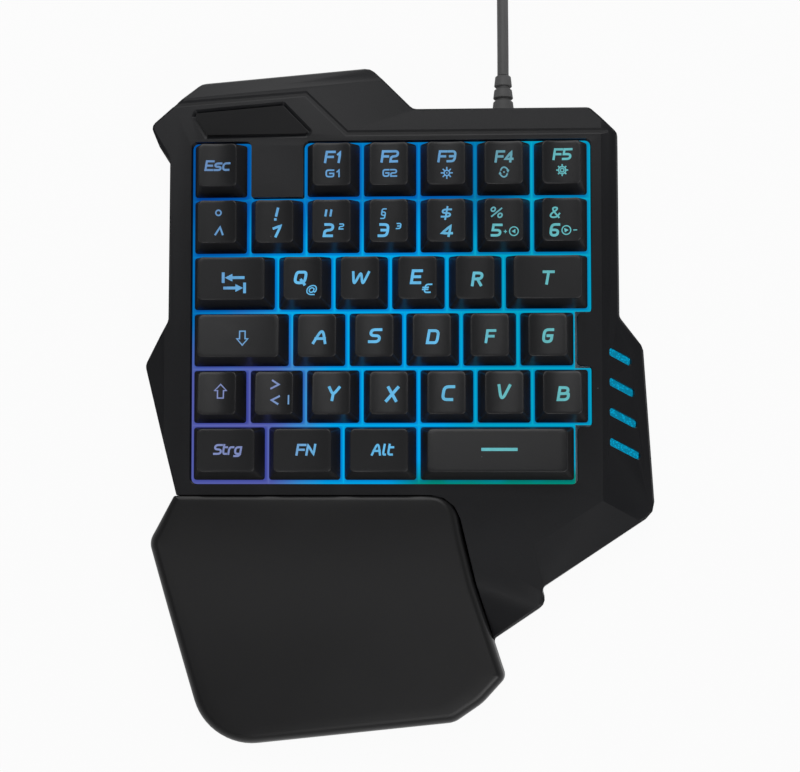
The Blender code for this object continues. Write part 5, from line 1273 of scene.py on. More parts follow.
def key_places():
    """Every key with its width, its middle in deck coordinates, and the dish and tilt of its top."""
    places = []
    for row, keys in enumerate(KEY_ROWS):
        start = 0.0
        for name, units in keys:
            if name:
                long_key = name == "space"
                dish = -SPACE_CROWN if long_key else CAP_DISH
                tilt = math.tan(math.radians(SPACE_TILT_DEG if long_key else ROW_TILTS_DEG[row]))
                middle = ((start + units / 2) * KEY_PITCH, -(row + 0.5) * KEY_PITCH)
                places.append(Key(name, units * KEY_PITCH - KEY_GAP, *middle, dish, tilt))
            start += units
    return places


def cap_sides(width, share, inset):
    """Sides of a cap at a share of its height, moved in by an amount."""
    half = width / 2 - share * CAP_SIDE_TAPER - inset
    deep = (KEY_PITCH - KEY_GAP) / 2
    return -half, half, -deep + share * CAP_FRONT_TAPER + inset, deep - share * CAP_REAR_TAPER - inset


def cap_top(key, x, y):
    """Height of a cap's top, dished or crowned across and tilted about its higher edge."""
    half = key.width / 2 - CAP_SIDE_TAPER
    front, rear = cap_sides(key.width, 1.0, 0.0)[2:]
    fall = abs(key.tilt) * abs(y - (front if key.tilt > 0.0 else rear))
    return CAP_HEIGHT - key.dish * (1.0 - (x / half) ** 2) - fall


def cap_mesh(key, edge):
    """One cap with its plunger, as one closed skin: walls, rolled edge, dished top, inside and stem."""
    bm = bmesh.new()
    height = CAP_HEIGHT + CAP_DROP

    def outline(share, inset, radius=CAP_SKIRT_ROUND):
        """The cap's plan at a share of its height, moved in by an amount."""
        return plan_ring(*cap_sides(key.width, share, inset), radius)

    def on_top(points, drop):
        """A row below the top by a drop."""
        return ring(bm, points, [cap_top(key, x, y) - drop for x, y in points])

    rows = [ring(bm, outline(0.0, CAP_FOOT_ROUND), -CAP_DROP)]
    rows.append(ring(bm, outline(0.0, 0.0), -CAP_DROP + CAP_FOOT_ROUND))
    rows.append(ring(bm, outline(0.5, 0.0, (CAP_SKIRT_ROUND + CAP_TOP_ROUND) / 2), -CAP_DROP + 0.5 * height))
    for aside, down in quarter(4):
        rows.append(on_top(outline(1.0, edge * aside, CAP_TOP_ROUND - edge * aside / 2), edge * down))
    y0, y1 = cap_sides(key.width, 1.0, edge)[2:]
    middle_y = (y0 + y1) / 2
    rim = outline(1.0, edge, CAP_TOP_ROUND - edge / 2)
    for share in CAP_INNER_SHARES:
        rows.append(on_top([(x * share, middle_y + (y - middle_y) * share) for x, y in rim], 0.0))
    for low, high in zip(rows, rows[1:]):
        bridge(bm, low, high)
    fan(bm, rows[-1], bm.verts.new((0.0, middle_y, cap_top(key, 0.0, middle_y))))
    share = 1.0 - (CAP_ROOF + abs(key.tilt) * (y1 - y0) / 2) / height
    stem, hollow = STEM_SIDE / 2, STEM_SIDE / 2 - STEM_WALL
    bore = even_ring(hollow, hollow, STEM_ROUND / 2)
    inside = [ring(bm, outline(0.0, CAP_WALL), -CAP_DROP)]
    inside.append(on_top(outline(share, CAP_WALL), CAP_ROOF))
    inside.append(on_top(even_ring(stem, stem, STEM_ROUND), CAP_ROOF))
    inside.append(ring(bm, even_ring(stem, stem, STEM_ROUND), -STEM_REACH))
    inside += [ring(bm, bore, -STEM_REACH), ring(bm, bore, -STEM_REACH + STEM_HOLLOW)]
    bridge(bm, inside[0], rows[0])
    for low, high in zip(inside, inside[1:]):
        bridge(bm, high, low)
    fan(bm, inside[-1], bm.verts.new((0.0, 0.0, -STEM_REACH + STEM_HOLLOW)))
    return bm


def add_hooks(bm, roof):
    """Two slotted posts under the long key, for the tips of its wire."""
    half_length, half_height = HOOK_SLOT / 2
    y0, y1 = HOOK_PLACE_Y - half_length, HOOK_PLACE_Y + half_length
    z0, z1 = HOOK_PLACE_Z - half_height, HOOK_PLACE_Z + half_height
    slot = [(y0, z0), (y1, z0), (y1, z1), (y0, z1)]
    front, rear, foot = y0 - HOOK_WALL, y1 + HOOK_WALL, z0 - HOOK_WALL
    post = [(front, foot), (rear, foot), (rear, roof), (front, roof)]
    for middle in (-HOOK_SPREAD / 2, HOOK_SPREAD / 2):
        sleeve(bm, *(
            [[bm.verts.new((x, y, z)) for y, z in points] for points in (post, slot)]
            for x in (middle - HOOK_WIDTH / 2, middle + HOOK_WIDTH / 2)
        ))


def stroke(points, closed, width):
    """Triangles of a flat line of even width through points; open ends reach half the width further."""
    spots = list(points)
    if not closed:
        spots[0] = spots[0] + (spots[0] - spots[1]).normalized() * width / 2
        spots[-1] = spots[-1] + (spots[-1] - spots[-2]).normalized() * width / 2
    count = len(spots)
    left, right = [], []
    for i, here in enumerate(spots):
        lead = (here - spots[i - 1]).normalized() if closed or i else (spots[1] - here).normalized()
        trail = (spots[(i + 1) % count] - here).normalized() if closed or i < count - 1 else lead
        normal = Vector((-lead.y - trail.y, lead.x + trail.x)) / max(1.0 + lead.dot(trail), LEAST_MITRE)
        left.append(here + normal * width / 2)
        right.append(here - normal * width / 2)
    faces = []
    for i in range(count if closed else count - 1):
        j = (i + 1) % count
        faces += [(left[i], right[i], right[j]), (left[i], right[j], left[j])]
    return faces


def mark_paths(mark):
    """Kind and grid points of each path of a mark, with the letters of a word one after the other."""
    paths = []
    start = 0.0
    for part in [mark] if mark in GLYPHS else mark:
        reach = 0.0
        for code in GLYPHS[part].split():
            kind = code[0] if code[0] in "#*@." else ""
            digits = [float(int(digit, 16)) for digit in code[len(kind):]]
            points = [Vector((start + x, y)) for x, y in zip(digits[::2], digits[1::2])]
            if kind == "@":
                points = [Vector(spot) for spot in wheel(digits[2], ICON_SIDES, 0.0, points[0])]
            reach = max(reach, *(point.x - start for point in points))
            paths.append((kind, points))
        start += reach + LETTER_SPACE
    return paths


def bent(points, reach):
    """A line with its corners rounded, apart from those given twice, and with its runs split."""
    route = [points[0]]
    for before, corner, after in zip(points, points[1:], points[2:]):
        if corner == after or corner == before:
            route.append(corner)
            continue
        first = corner + (before - corner).normalized() * min(reach, (before - corner).length / 2)
        last = corner + (after - corner).normalized() * min(reach, (after - corner).length / 2)
        for k in range(BEND_STEPS + 1):
            share = k / BEND_STEPS
            route.append(first.lerp(corner, share).lerp(corner.lerp(last, share), share))
    route.append(points[-1])
    split = [route[0]]
    for spot in route[1:]:
        gap = (spot - split[-1]).length
        if gap > LEAST_STEP:
            steps = math.ceil(gap / LONGEST_STEP)
            start = split[-1]
            split += [start.lerp(spot, k / steps) for k in range(1, steps + 1)]
    return split


def mark_faces(mark, x, y, width, height, line):
    """Triangles of a mark whose ink fills a box round a place, all in millimetres."""
    lean = 0.0 if mark in UPRIGHT_MARKS else LETTER_SHEAR
    paths = [(kind, [Vector((p.x + lean * p.y, p.y)) for p in points]) for kind, points in mark_paths(mark)]
    across = [p.x for _, points in paths for p in points]
    along = [p.y for _, points in paths for p in points]
    wide, tall = max(across) - min(across), max(along) - min(along)
    scale = Vector(((width - line) / max(wide, 1.0), (height - line) / max(tall, 1.0)))
    middle = Vector((max(across) + min(across), max(along) + min(along))) / 2
    faces = []
    for kind, points in paths:
        points = [(p - middle) * scale + Vector((x, y)) for p in points]
        if kind == "*":
            faces.append(points)
        elif kind == ".":
            square = Vector((line, line)) / 2
            low, high = points[0] - square, points[0] + square
            faces.append([low, Vector((high.x, low.y)), high, Vector((low.x, high.y))])
        elif kind:
            faces += stroke(points, True, line)
        else:
            faces += stroke(bent(points, BEND_REACH_SHARE * height), False, line)
    corners, input_faces = [], []
    for face in faces:
        turn = sum(a.x * b.y - b.x * a.y for a, b in zip(face, [*face[1:], face[0]]))
        if abs(turn) > LEAST_STEP ** 2:
            input_faces.append(list(range(len(corners), len(corners) + len(face))))
            corners += face if turn > 0.0 else face[::-1]
    spots, _, made, _, _, origins = delaunay_2d_cdt(corners, [], input_faces, 0, LEAST_STEP / 10)
    return spots, [face for face, origin in zip(made, origins) if origin]


def legend_mesh(key):
    """All marks of one key as thin closed inlays that follow the cap's top."""
    bm = bmesh.new()
    for mark, x, y, width, height, *line in LEGENDS[key.name]:
        spots, faces = mark_faces(mark, x, y, width, height, line[0] if line else height * LETTER_LINE_SHARE)
        verts = [bm.verts.new((*(spot * MM), 0.0)) for spot in spots]
        for face in faces:
            bm.faces.new([verts[i] for i in face])
    bmesh.ops.delete(bm, geom=[vert for vert in bm.verts if not vert.link_faces], context="VERTS")
    raised = bmesh.ops.extrude_face_region(bm, geom=list(bm.faces))
    tops = {vert for vert in raised["geom"] if isinstance(vert, bmesh.types.BMVert)}
    for vert in bm.verts:
        level = cap_top(key, vert.co.x, vert.co.y) + LEGEND_PROUD
        vert.co.z = level if vert in tops else level - LEGEND_DEPTH
    return bm


# Backlight


def lattice_mesh():
    """A thin film over the guide plate, open under each cap, that marks how near a point is to a gap."""
    bm = bmesh.new()
    core = bm.verts.layers.float.new("core")

    def outward(place, low, high, reach):
        """Carry a place on the window's border out under its wall."""
        if abs(place - low) < BORDER_WIDTH:
            return low - reach
        return high + reach if abs(place - high) < BORDER_WIDTH else place

    for key in key_places():
        half_x, half_y = (key.width + KEY_GAP) / 2, KEY_PITCH / 2
        skirt = CAP_SKIRT_ROUND
        steps = (
            (0.0, 1.0, LATTICE_ROUND),
            (KEY_GAP / 2, LATTICE_EDGE_GLOW, skirt),
            (KEY_GAP / 2 + LATTICE_REACH, 0.0, skirt),
        )
        rows = []
        for inset, value, radius in steps:
            points = plan_ring(-half_x + inset, half_x - inset, -half_y + inset, half_y - inset, radius)
            points = [(px + key.x, py + key.y) for px, py in points]
            if inset == 0.0:
                for i, (px, py) in enumerate(points):
                    near_blank = abs(px - BLANK_X) < KEY_PITCH / 2 + BORDER_WIDTH
                    if near_blank and py > -KEY_PITCH - BORDER_WIDTH:
                        px = outward(px, BLANK_X - KEY_PITCH / 2, BLANK_X + KEY_PITCH / 2, -LATTICE_MARGIN)
                        py = outward(py, -KEY_PITCH, FIELD_DEPTH, -LATTICE_MARGIN)
                    px = outward(px, 0.0, FIELD_WIDTH, LATTICE_MARGIN)
                    points[i] = (px, outward(py, -FIELD_DEPTH, 0.0, LATTICE_MARGIN))
            row = ring(bm, points, PLATE_TOP + LATTICE_LIFT)
            for vert in row:
                vert[core] = value
            rows.append(row)
        for low, high in zip(rows, rows[1:]):
            bridge(bm, low, high)
    return bm


class KEYPAD_OT_studio(bpy.types.Operator):
    """Make the floor, the soft lights and the camera at the photograph's view"""

    bl_idname = "keypad.studio"
    bl_label = "Studio"

    def execute(self, context):
        scene = context.scene
        scene.view_settings.view_transform = "Standard"
        camera_data = bpy.data.cameras.new("camera")
        camera_data.sensor_width = SENSOR_WIDTH
        camera_data.lens = PHOTO_FOCAL_PIXELS / PHOTO_WIDTH * SENSOR_WIDTH
        camera_data.clip_start = CAMERA_NEAREST
        camera = bpy.data.objects.new("camera", camera_data)
        scene.collection.objects.link(camera)
        lean = Matrix.Rotation(math.radians(CAMERA_LEAN_DEG), 4, "X")
        side = Matrix.Rotation(math.radians(CAMERA_SIDE_DEG), 4, "Y")
        camera.matrix_world = DECK_PLACE @ Matrix.Translation(CAMERA_SPOT) @ side @ lean
        scene.camera = camera
        self.make_floor(scene.keypad_sizes.floor_radius)
        self.make_lights(scene)
        self.make_world(scene)
        return {"FINISHED"}

    def make_floor(self, radius):
        """A pale round floor that keeps the keypad's shadow."""
        bm = bmesh.new()
        bmesh.ops.create_circle(bm, cap_ends=True, radius=radius, segments=96)
        floor = placed("floor", mesh_of("floor", bm))
        paint = Finish("Studio floor")
        matt = paint.coat(Base_Color=FLOOR_COLOUR, Roughness=0.9, Specular_IOR_Level=0.1)
        floor.data.materials.append(matt)
        rays = paint.node("ShaderNodeLightPath").outputs
        mirrored = paint.maths("MULTIPLY", rays["Is Glossy Ray"], FLOOR_MIRROR_SHARE)
        seen = paint.maths("MAXIMUM", rays["Is Camera Ray"], mirrored)
        seen = paint.maths("MAXIMUM", seen, rays["Is Transmission Ray"])
        white = paint.node("ShaderNodeEmission", Color=(1.0, 1.0, 1.0), Strength=1.0)
        both = paint.node("ShaderNodeMixShader", Fac=paint.maths("MULTIPLY", seen, FLOOR_WHITE_SHARE))
        paint.feed(both.inputs[1], paint.shader.outputs[0])
        paint.feed(both.inputs[2], white.outputs[0])
        paint.fill(paint.tree.nodes["Material Output"], Surface=both.outputs[0])

    def make_lights(self, scene):
        """A soft box to the rear."""
        data = bpy.data.lights.new("rear_box", "AREA")
        data.shape = "RECTANGLE"
        data.size, data.size_y = REAR_BOX_SIZE
        data.energy = REAR_BOX_POWER
        lamp = bpy.data.objects.new("rear_box", data)
        scene.collection.objects.link(lamp)
        lamp.location = REAR_BOX_PLACE
        lamp.rotation_euler = (-Vector(REAR_BOX_PLACE)).to_track_quat("-Z", "Y").to_euler()

    def make_world(self, scene):
        """Grey studio walls under a dim ceiling, with a soft panel overhead and one to the front."""
        world = bpy.data.worlds.new("studio")
        world.use_nodes = True
        scene.world = world
        paint = Shading(world.node_tree)
        across, along, up = paint.node("ShaderNodeSeparateXYZ", Vector=paint.spot("Generated")).outputs
        forward = paint.maths("MULTIPLY", along, -1.0)
        walls = paint.ramp(up, WALLS_UP)
        overhead = paint.times(paint.ramp(forward, OVERHEAD_FORWARD), paint.ramp(up, OVERHEAD_UP))
        front = paint.times(paint.ramp(forward, FRONT_FORWARD), paint.ramp(up, FRONT_UP))
        front = paint.times(front, paint.ramp(paint.maths("ADD", across, 0.5), FRONT_ASIDE))
        tone = paint.mixed(1.0, paint.mixed(1.0, walls, overhead, "ADD"), front, "ADD")
        paint.fill(paint.tree.nodes["Background"], Color=tone, Strength=1.0)


class KEYPAD_OT_cord(bpy.types.Operator):
    """Make the cord with its coil, its tie and its plug"""

    bl_idname = "keypad.cord"
    bl_label = "Cord"

    def execute(self, context):
        look = looks()
        cord = cord_curve(look["cord"], context.scene.keypad_sizes.cord_sides)
        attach(cord, CASE)
        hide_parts("cable_run", "cable_coil")
        tie, tie_place, tie_top, tie_half = make_tie(look["tie"])
        ridges = bar_tree("Tie ridges", look["tie"])
        sizes = (TIE_RIDGES, TIE_RIDGE_WIDTH * 2, tie_half, TIE_RIDGE_WIDTH, TIE_RIDGE_RISE)
        seat = Matrix.Translation((0.0, 0.0, tie_top)) @ Matrix.Rotation(math.pi / 2, 4, "Z")
        ridge_piece = bars("cord_tie_ridges", ridges, "cord_jacket", tie_place @ seat, *sizes)
        pieces = [tie, ridge_piece] + make_plug(look)
        return {"FINISHED"}


class KEYPAD_OT_strain_relief(bpy.types.Operator):
    """Make the ribbed strain relief at the rear wall"""

    bl_idname = "keypad.strain_relief"
    bl_label = "Strain relief"

    def execute(self, context):
        low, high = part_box("strain_relief")
        start = low.y - CASE_ORIGIN.y
        outside = RELIEF_TIP_Y - RELIEF_LENGTH
        flange = (high.x - low.x) / 2
        inside = start + RELIEF_FLANGE
        profile = [(start, flange), (inside, flange)]
        profile += [(inside, RELIEF_NECK_RADIUS), (outside, RELIEF_NECK_RADIUS)]
        profile.append((outside, RELIEF_BASE_RADIUS - RELIEF_ROUND))
        profile.append((outside + RELIEF_ROUND, RELIEF_BASE_RADIUS))
        for k in range(1, RELIEF_RIBS):
            y = outside + k * RELIEF_LENGTH / RELIEF_RIBS
            radius = RELIEF_BASE_RADIUS + (RELIEF_TIP_RADIUS - RELIEF_BASE_RADIUS) * k / RELIEF_RIBS
            for side in (-1, 1):
                wall = y + side * RELIEF_RIB_GAP / 2
                edge = [(wall + side * RELIEF_ROUND, radius), (wall, radius - RELIEF_ROUND)]
                edge.append((wall, radius - RELIEF_RIB_DEPTH))
                profile += edge[::-side]
        tip = outside + RELIEF_LENGTH
        profile += [(tip - RELIEF_ROUND, RELIEF_TIP_RADIUS), (tip, RELIEF_TIP_RADIUS - RELIEF_ROUND)]
        bm = bmesh.new()
        loft(bm, [[bm.verts.new((x, y, z)) for x, z in wheel(r, RELIEF_SIDES)] for y, r in profile])
        place = CASE_PLACE @ Matrix.Translation((RELIEF_X, 0.0, RELIEF_HEIGHT))
        look, sharp = looks()["relief"], SHARP_ON_SMALL_PIECES
        finished("ribbed_relief", bm, look, CASE, place, sharp, ("strain_relief",))
        return {"FINISHED"}


class KEYPAD_OT_keycaps(bpy.types.Operator):
    """Make the keycaps with their plungers, each on its own body"""

    bl_idname = "keypad.keycaps"
    bl_label = "Keycaps"

    def execute(self, context):
        look = looks()["cap"]
        edge = context.scene.keypad_sizes.cap_edge
        for key in key_places():
            bm = cap_mesh(key, edge)
            if key.name == "space":
                reach = HOOK_SLOT[0] / 2 + HOOK_WALL
                ends = (HOOK_PLACE_Y - reach, HOOK_PLACE_Y + reach)
                add_hooks(bm, min(cap_top(key, HOOK_SPREAD / 2, y) for y in ends) - CAP_ROOF / 2)
            node = "key_" + key.name
            place = DECK_PLACE @ Matrix.Translation((key.x, key.y, 0.0))
            finished("cap_" + key.name, bm, look, node, place, SHARP_ON_CAPS, (node,))
        return {"FINISHED"}


class KEYPAD_OT_legends(bpy.types.Operator):
    """Make the lit legends on the keycaps"""

    bl_idname = "keypad.legends"
    bl_label = "Legends"

    def execute(self, context):
        look = looks()["legend"]
        for key in key_places():
            place = DECK_PLACE @ Matrix.Translation((key.x, key.y, 0.0))
            name, body = "legend_" + key.name, "key_" + key.name
            finished(name, legend_mesh(key), look, body, place, SHARP_ON_SMALL_PIECES)
        return {"FINISHED"}


class KEYPAD_OT_backlight(bpy.types.Operator):
    """Make the lit film between the caps and the prisms in the side slots"""

    bl_idname = "keypad.backlight"
    bl_label = "Backlight"

    def execute(self, context):
        look = looks()
        film = placed("lit_film", mesh_of("lit_film", lattice_mesh()), DECK_PLACE)
        dressed(film, look["lattice"], CASE, None)
        solid = film.modifiers.new("film", "SOLIDIFY")
        solid.thickness = LATTICE_SHEET
        solid.offset = 1.0
        prisms = bar_tree("Slot prisms", look["lens"])
        for k in range(SLOT_COUNT):
            length = SLOT_FIRST_LENGTH + k * SLOT_GROWTH
            top = -SLOT_FIRST_SHARE * FIELD_DEPTH - k * SLOT_PITCH
            middle_y = top - SLOT_HEIGHT / 2 - SLOT_SKEW_SHARE * length / 2
            shear = Matrix.Identity(4)
            shear[1][0] = -SLOT_SKEW_SHARE
            seat = Matrix.Translation((SLOT_START + length / 2, middle_y, -LENS_SINK)) @ shear
            count = int(length / PRISM_PITCH) - 1
            sizes = (count, PRISM_PITCH, SLOT_HEIGHT - 2 * GAP, PRISM_WIDTH, PRISM_RISE)
            bars("slot_prisms_" + str(k + 1), prisms, "diffuser_plastic", WING_PLACE @ seat, *sizes)
        return {"FINISHED"}


class KEYPAD_OT_shells(bpy.types.Operator):
    """Round the edges of both case shells and give them their grain"""

    bl_idname = "keypad.shells"
    bl_label = "Case shells"

    def execute(self, context):
        look = looks()["case"]
        width = context.scene.keypad_sizes.edge_break
        softened("top_shell", "upper_case", look, width)
        softened("bottom_shell", "lower_case", look, width)
        return {"FINISHED"}


class KEYPAD_OT_palm_rest(bpy.types.Operator):
    """Make the crowned palm rest with its rolled edge"""

    bl_idname = "keypad.palm_rest"
    bl_label = "Palm rest"

    def corners(self):
        """Corners of the rest, counter-clockwise from its rear right."""
        rear = -FIELD_DEPTH - PALM_SETBACK
        return [
            (across * PALM_WIDTH - PALM_REACH_LEFT, rear - along * PALM_DEPTH, radius)
            for across, along, radius in PALM_CORNERS
        ]

    def surface(self, x, y):
        """Height of the top: a crown just in front of its rear edge, falling to the front."""
        palm_rear = -FIELD_DEPTH - PALM_SETBACK
        share = min(max((palm_rear - y) / PALM_DEPTH, 0.0), 1.0)
        rear = DECK_REAR_HEIGHT + palm_rear * math.tan(math.radians(DECK_SLOPE_DEG)) + PALM_REAR_LIFT
        aside = (x - PALM_WIDTH / 2 + PALM_REACH_LEFT) / (PALM_WIDTH / 2)
        crown = PALM_CROWN * math.sin(math.pi * share ** PALM_CROWN_SHIFT_SHARE)
        crown *= 1.0 - PALM_CROWN_FADE_SHARE * aside ** 2
        return rear + (PALM_FRONT_HEIGHT - rear) * share + crown

    def execute(self, context):
        corners = self.corners()
        straights = []
        for here, after in zip(corners, corners[1:] + corners[:1]):
            side = (Vector(after[:2]) - Vector(here[:2])).length
            straights.append(max(1, round(side / PALM_POINT_SPACING)))

        def outline(inset):
            """Points of the outline, moved in by an amount."""
            return rounded(inset_corners(corners, inset), PALM_ARC_STEP_DEG, straights)

        bm = bmesh.new()
        lean = (PALM_FRONT_HEIGHT - PARTING_HEIGHT) * math.tan(math.radians(CASE_DRAFT_DEG))
        blend_y = -FIELD_DEPTH - PALM_SETBACK - PALM_REAR_BLEND
        skins = []
        for inset, sink in ((0.0, 0.0), (PALM_WALL, PALM_WALL)):
            rows = [ring(bm, outline(inset), PARTING_HEIGHT)]
            for aside, down in quarter(PALM_EDGE_STEPS):
                points = outline(inset + lean + PALM_EDGE_ROUND * aside)
                shift = lean + aside * (PALM_EDGE_ROUND - PALM_REAR_ROUND)
                points = [(x, y + shift * max(y - blend_y, 0.0) / PALM_REAR_BLEND) for x, y in points]
                heights = []
                for x, y in points:
                    near = min(max(y - blend_y, 0.0) / PALM_REAR_BLEND, 1.0)
                    edge = PALM_EDGE_ROUND + (PALM_REAR_ROUND - PALM_EDGE_ROUND) * near
                    heights.append(self.surface(x, y) - edge * down - sink)
                rows.append(ring(bm, points, heights))
            edge = [vert.co.copy() for vert in rows[-1]]
            middle = sum(edge, Vector()) / len(edge)
            for k in range(1, PALM_INNER_STEPS):
                points = [tuple(spot.lerp(middle, k / PALM_INNER_STEPS).xy) for spot in edge]
                rows.append(ring(bm, points, [self.surface(x, y) - sink for x, y in points]))
            top = bm.verts.new((middle.x, middle.y, self.surface(middle.x, middle.y) - sink))
            for low, high in zip(rows, rows[1:]):
                bridge(bm, low, high) if not skins else bridge(bm, high, low)
            fan(bm, rows[-1] if not skins else rows[-1][::-1], top)
            skins.append(rows[0])
        bridge(bm, skins[1], skins[0])
        low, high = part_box("screw_palm")
        spot = (low + high) / 2 - CASE_ORIGIN
        roof = self.surface(spot.x, spot.y) - PALM_WALL / 2
        foot = POST_GAP_HEIGHT + GAP
        profile = ((PALM_BOSS_BORE, high.z + GAP), (PALM_BOSS_BORE, foot), (PALM_BOSS_RADIUS, foot))
        lathe(bm, (*profile, (PALM_BOSS_RADIUS, roof)), RELIEF_SIDES, spot)
        look, sharp = looks()["palm"], SHARP_ON_CAPS
        finished("palm_rest_shell", bm, look, CASE, CASE_PLACE, sharp, ("palm_rest",))
        return {"FINISHED"}


class KEYPAD_OT_badge(bpy.types.Operator):
    """Finish the bare badge plate"""

    bl_idname = "keypad.badge"
    bl_label = "Badge plate"

    def execute(self, context):
        softened("badge_plate", "bare_badge", looks()["badge"], BADGE_EDGE)
        return {"FINISHED"}


def screw_tree(look):
    """A pan-head screw on each point: head, cross recess, shank and thread."""
    sizes = {
        "Head radius": SCREW_HEAD_RADIUS,
        "Head height": SCREW_HEAD_HEIGHT,
        "Shank radius": SCREW_SHANK_RADIUS,
        "Length": SCREW_LENGTH,
        "Cross width": SCREW_CROSS_WIDTH,
        "Cross depth": SCREW_CROSS_DEPTH,
        "Thread pitch": SCREW_THREAD_PITCH,
    }
    tree = Tree("Screws", sizes)
    given = tree.given

    def raised(geometry, height):
        """Geometry moved up by a height."""
        return tree.moved(geometry, Translation=tree.vector(0.0, 0.0, height))

    radius, length = given["Shank radius"], given["Length"]
    head = tree.node(
        "GeometryNodeMeshCylinder", Vertices=40, Radius=given["Head radius"], Depth=given["Head height"]
    )
    lift = tree.maths("MULTIPLY", given["Head height"], 0.5)
    cutters = []
    for x, y in ((SCREW_CROSS_SHARE, 1.0), (1.0, SCREW_CROSS_SHARE)):
        wide = tree.maths("MULTIPLY", given["Cross width"], x)
        deep = tree.maths("MULTIPLY", given["Cross width"], y)
        size = tree.vector(wide, deep, tree.maths("MULTIPLY", given["Cross depth"], 2.0))
        cutters.append(tree.node("GeometryNodeMeshCube", Size=size).outputs["Mesh"])
    cross = tree.node("GeometryNodeMeshBoolean", Mesh_2=cutters)
    cross.operation = "UNION"
    seated = raised(head.outputs["Mesh"], lift)
    recess = tree.node("GeometryNodeMeshBoolean", Mesh_1=seated, Mesh_2=cross.outputs[0])
    recess.operation = "DIFFERENCE"
    shank = tree.node("GeometryNodeMeshCylinder", Vertices=24, Radius=radius, Depth=length)
    under = raised(shank.outputs["Mesh"], tree.maths("ADD", tree.maths("MULTIPLY", length, 0.5), lift))
    reach = tree.maths("MULTIPLY", length, SCREW_THREAD_SHARE)
    turns = tree.maths("DIVIDE", reach, given["Thread pitch"])
    helix = tree.node("GeometryNodeCurveSpiral", Resolution=20, Rotations=turns, Height=reach)
    tree.fill(helix, Start_Radius=radius, End_Radius=radius)
    crest = tree.node("GeometryNodeCurvePrimitiveCircle", Resolution=3, Radius=SCREW_THREAD_RISE)
    thread = tree.node("GeometryNodeCurveToMesh", Curve=helix.outputs[0], Fill_Caps=True)
    tree.fill(thread, Profile_Curve=crest.outputs["Curve"])
    lifted = raised(thread.outputs[0], tree.maths("ADD", given["Head height"], SCREW_THREAD_RISE))
    whole = tree.node("GeometryNodeJoinGeometry", Geometry=[recess.outputs[0], under, lifted])
    points = tree.node("GeometryNodeMeshToPoints", Mesh=given["Geometry"])
    return tree.finish(points, whole.outputs[0], look)


class KEYPAD_OT_screws(bpy.types.Operator):
    """Make the case screws with their cross recesses and threads"""

    bl_idname = "keypad.screws"
    bl_label = "Screws"

    def execute(self, context):
        boxes = [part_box(node) for node in SCREWS]
        spots = [Vector(((low.x + high.x) / 2, (low.y + high.y) / 2, low.z)) for low, high in boxes]
        low, high = boxes[0]
        sizes = {"Length": high.z - low.z - SCREW_HEAD_HEIGHT, "Head radius": (high.x - low.x) / 2}
        base = bpy.data.meshes.new("screw spots")
        base.from_pydata([tuple(spot) for spot in spots], [], [])
        group = screw_tree(looks()["screw"])
        made = grown("case_screws", group, sizes, None, base, SHARP_ON_SMALL_PIECES)
        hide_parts(*SCREWS)
        return {"FINISHED"}


class KEYPAD_OT_feet(bpy.types.Operator):
    """Make the rubber feet with a ringed tread"""

    bl_idname = "keypad.feet"
    bl_label = "Feet"

    def execute(self, context):
        look = looks()["rubber"]
        for node in FEET:
            low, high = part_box(node)
            spot = Vector(((low.x + high.x) / 2, (low.y + high.y) / 2, 0.0))
            radius = (high.x - low.x) / 2
            edge = FOOT_EDGE
            profile = [(radius, high.z), (radius, low.z + edge)]
            cut = edge * FOOT_EDGE_SHARE
            profile += [(radius - cut, low.z + cut), (radius - edge, low.z)]
            for k in range(FOOT_RINGS):
                groove = radius - (k + 1) * FOOT_RING_PITCH
                profile += [(groove + FOOT_RING_RADIUS, low.z), (groove, low.z + FOOT_RING_RADIUS)]
                profile.append((groove - FOOT_RING_RADIUS, low.z))
            bm = bmesh.new()
            lathe(bm, profile, FOOT_SIDES)
            place, sharp = Matrix.Translation(spot), SHARP_ON_SMALL_PIECES
            finished(node + "_pad", bm, look, CASE, place, sharp, (node,))
        return {"FINISHED"}


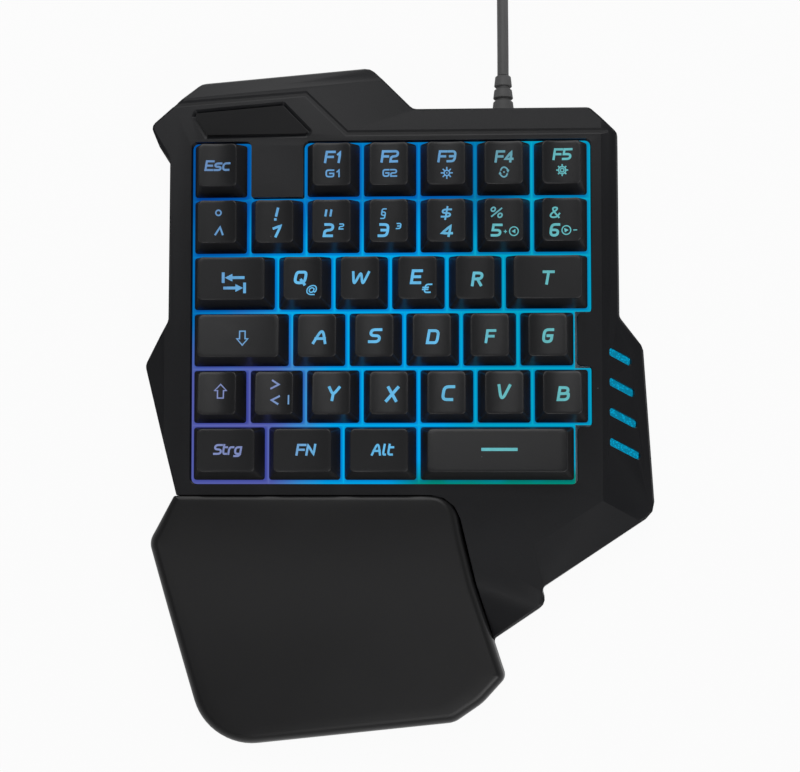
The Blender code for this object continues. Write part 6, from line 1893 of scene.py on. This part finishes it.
class KEYPAD_OT_inside(bpy.types.Operator):
    """Give the parts inside their finishes"""

    bl_idname = "keypad.inside"
    bl_label = "Parts inside"

    def execute(self, context):
        look = looks()
        finishes = {
            "key_guide_plate": "guide",
            "dome_sheet": "dome",
            "membrane": "film",
            "light_guide_sheet": "acrylic",
            "circuit_board": "board",
            "side_light_lens": "lens",
            "space_bar_wire": "wire",
        }
        for node, finish in finishes.items():
            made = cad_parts[node]
            made.data.materials.clear()
            made.data.materials.append(look[finish])
        return {"FINISHED"}


OPERATORS = (
    KEYPAD_OT_studio,
    KEYPAD_OT_cord,
    KEYPAD_OT_strain_relief,
    KEYPAD_OT_shells,
    KEYPAD_OT_palm_rest,
    KEYPAD_OT_keycaps,
    KEYPAD_OT_legends,
    KEYPAD_OT_backlight,
    KEYPAD_OT_badge,
    KEYPAD_OT_screws,
    KEYPAD_OT_feet,
    KEYPAD_OT_inside,
)


class KEYPAD_PT_panel(bpy.types.Panel):
    """The keypad's pieces, sizes and colours"""

    bl_idname = "KEYPAD_PT_panel"
    bl_label = "Keypad"
    bl_space_type = "VIEW_3D"
    bl_region_type = "UI"
    bl_category = "Keypad"

    def draw(self, context):
        layout = self.layout
        for operator in OPERATORS:
            layout.operator(operator.bl_idname)
        for group in (context.scene.keypad_sizes, context.scene.keypad_colours):
            for name in group.__annotations__:
                layout.prop(group, name)


CLASSES = (KeypadSizes, KeypadColours, *OPERATORS, KEYPAD_PT_panel)


def register():
    """Register the classes and hang the settings on the scene."""
    for kind in CLASSES:
        bpy.utils.register_class(kind)
    bpy.types.Scene.keypad_sizes = PointerProperty(type=KeypadSizes)
    bpy.types.Scene.keypad_colours = PointerProperty(type=KeypadColours)


def unregister():
    """Take the settings and the classes away again."""
    del bpy.types.Scene.keypad_colours
    del bpy.types.Scene.keypad_sizes
    for kind in reversed(CLASSES):
        bpy.utils.unregister_class(kind)


def main():
    """Build every piece in order."""
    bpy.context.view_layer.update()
    register()
    for operator in OPERATORS:
        family, name = operator.bl_idname.split(".")
        getattr(getattr(bpy.ops, family), name)()
    bpy.context.view_layer.update()


if __name__ == "__main__":
    main()
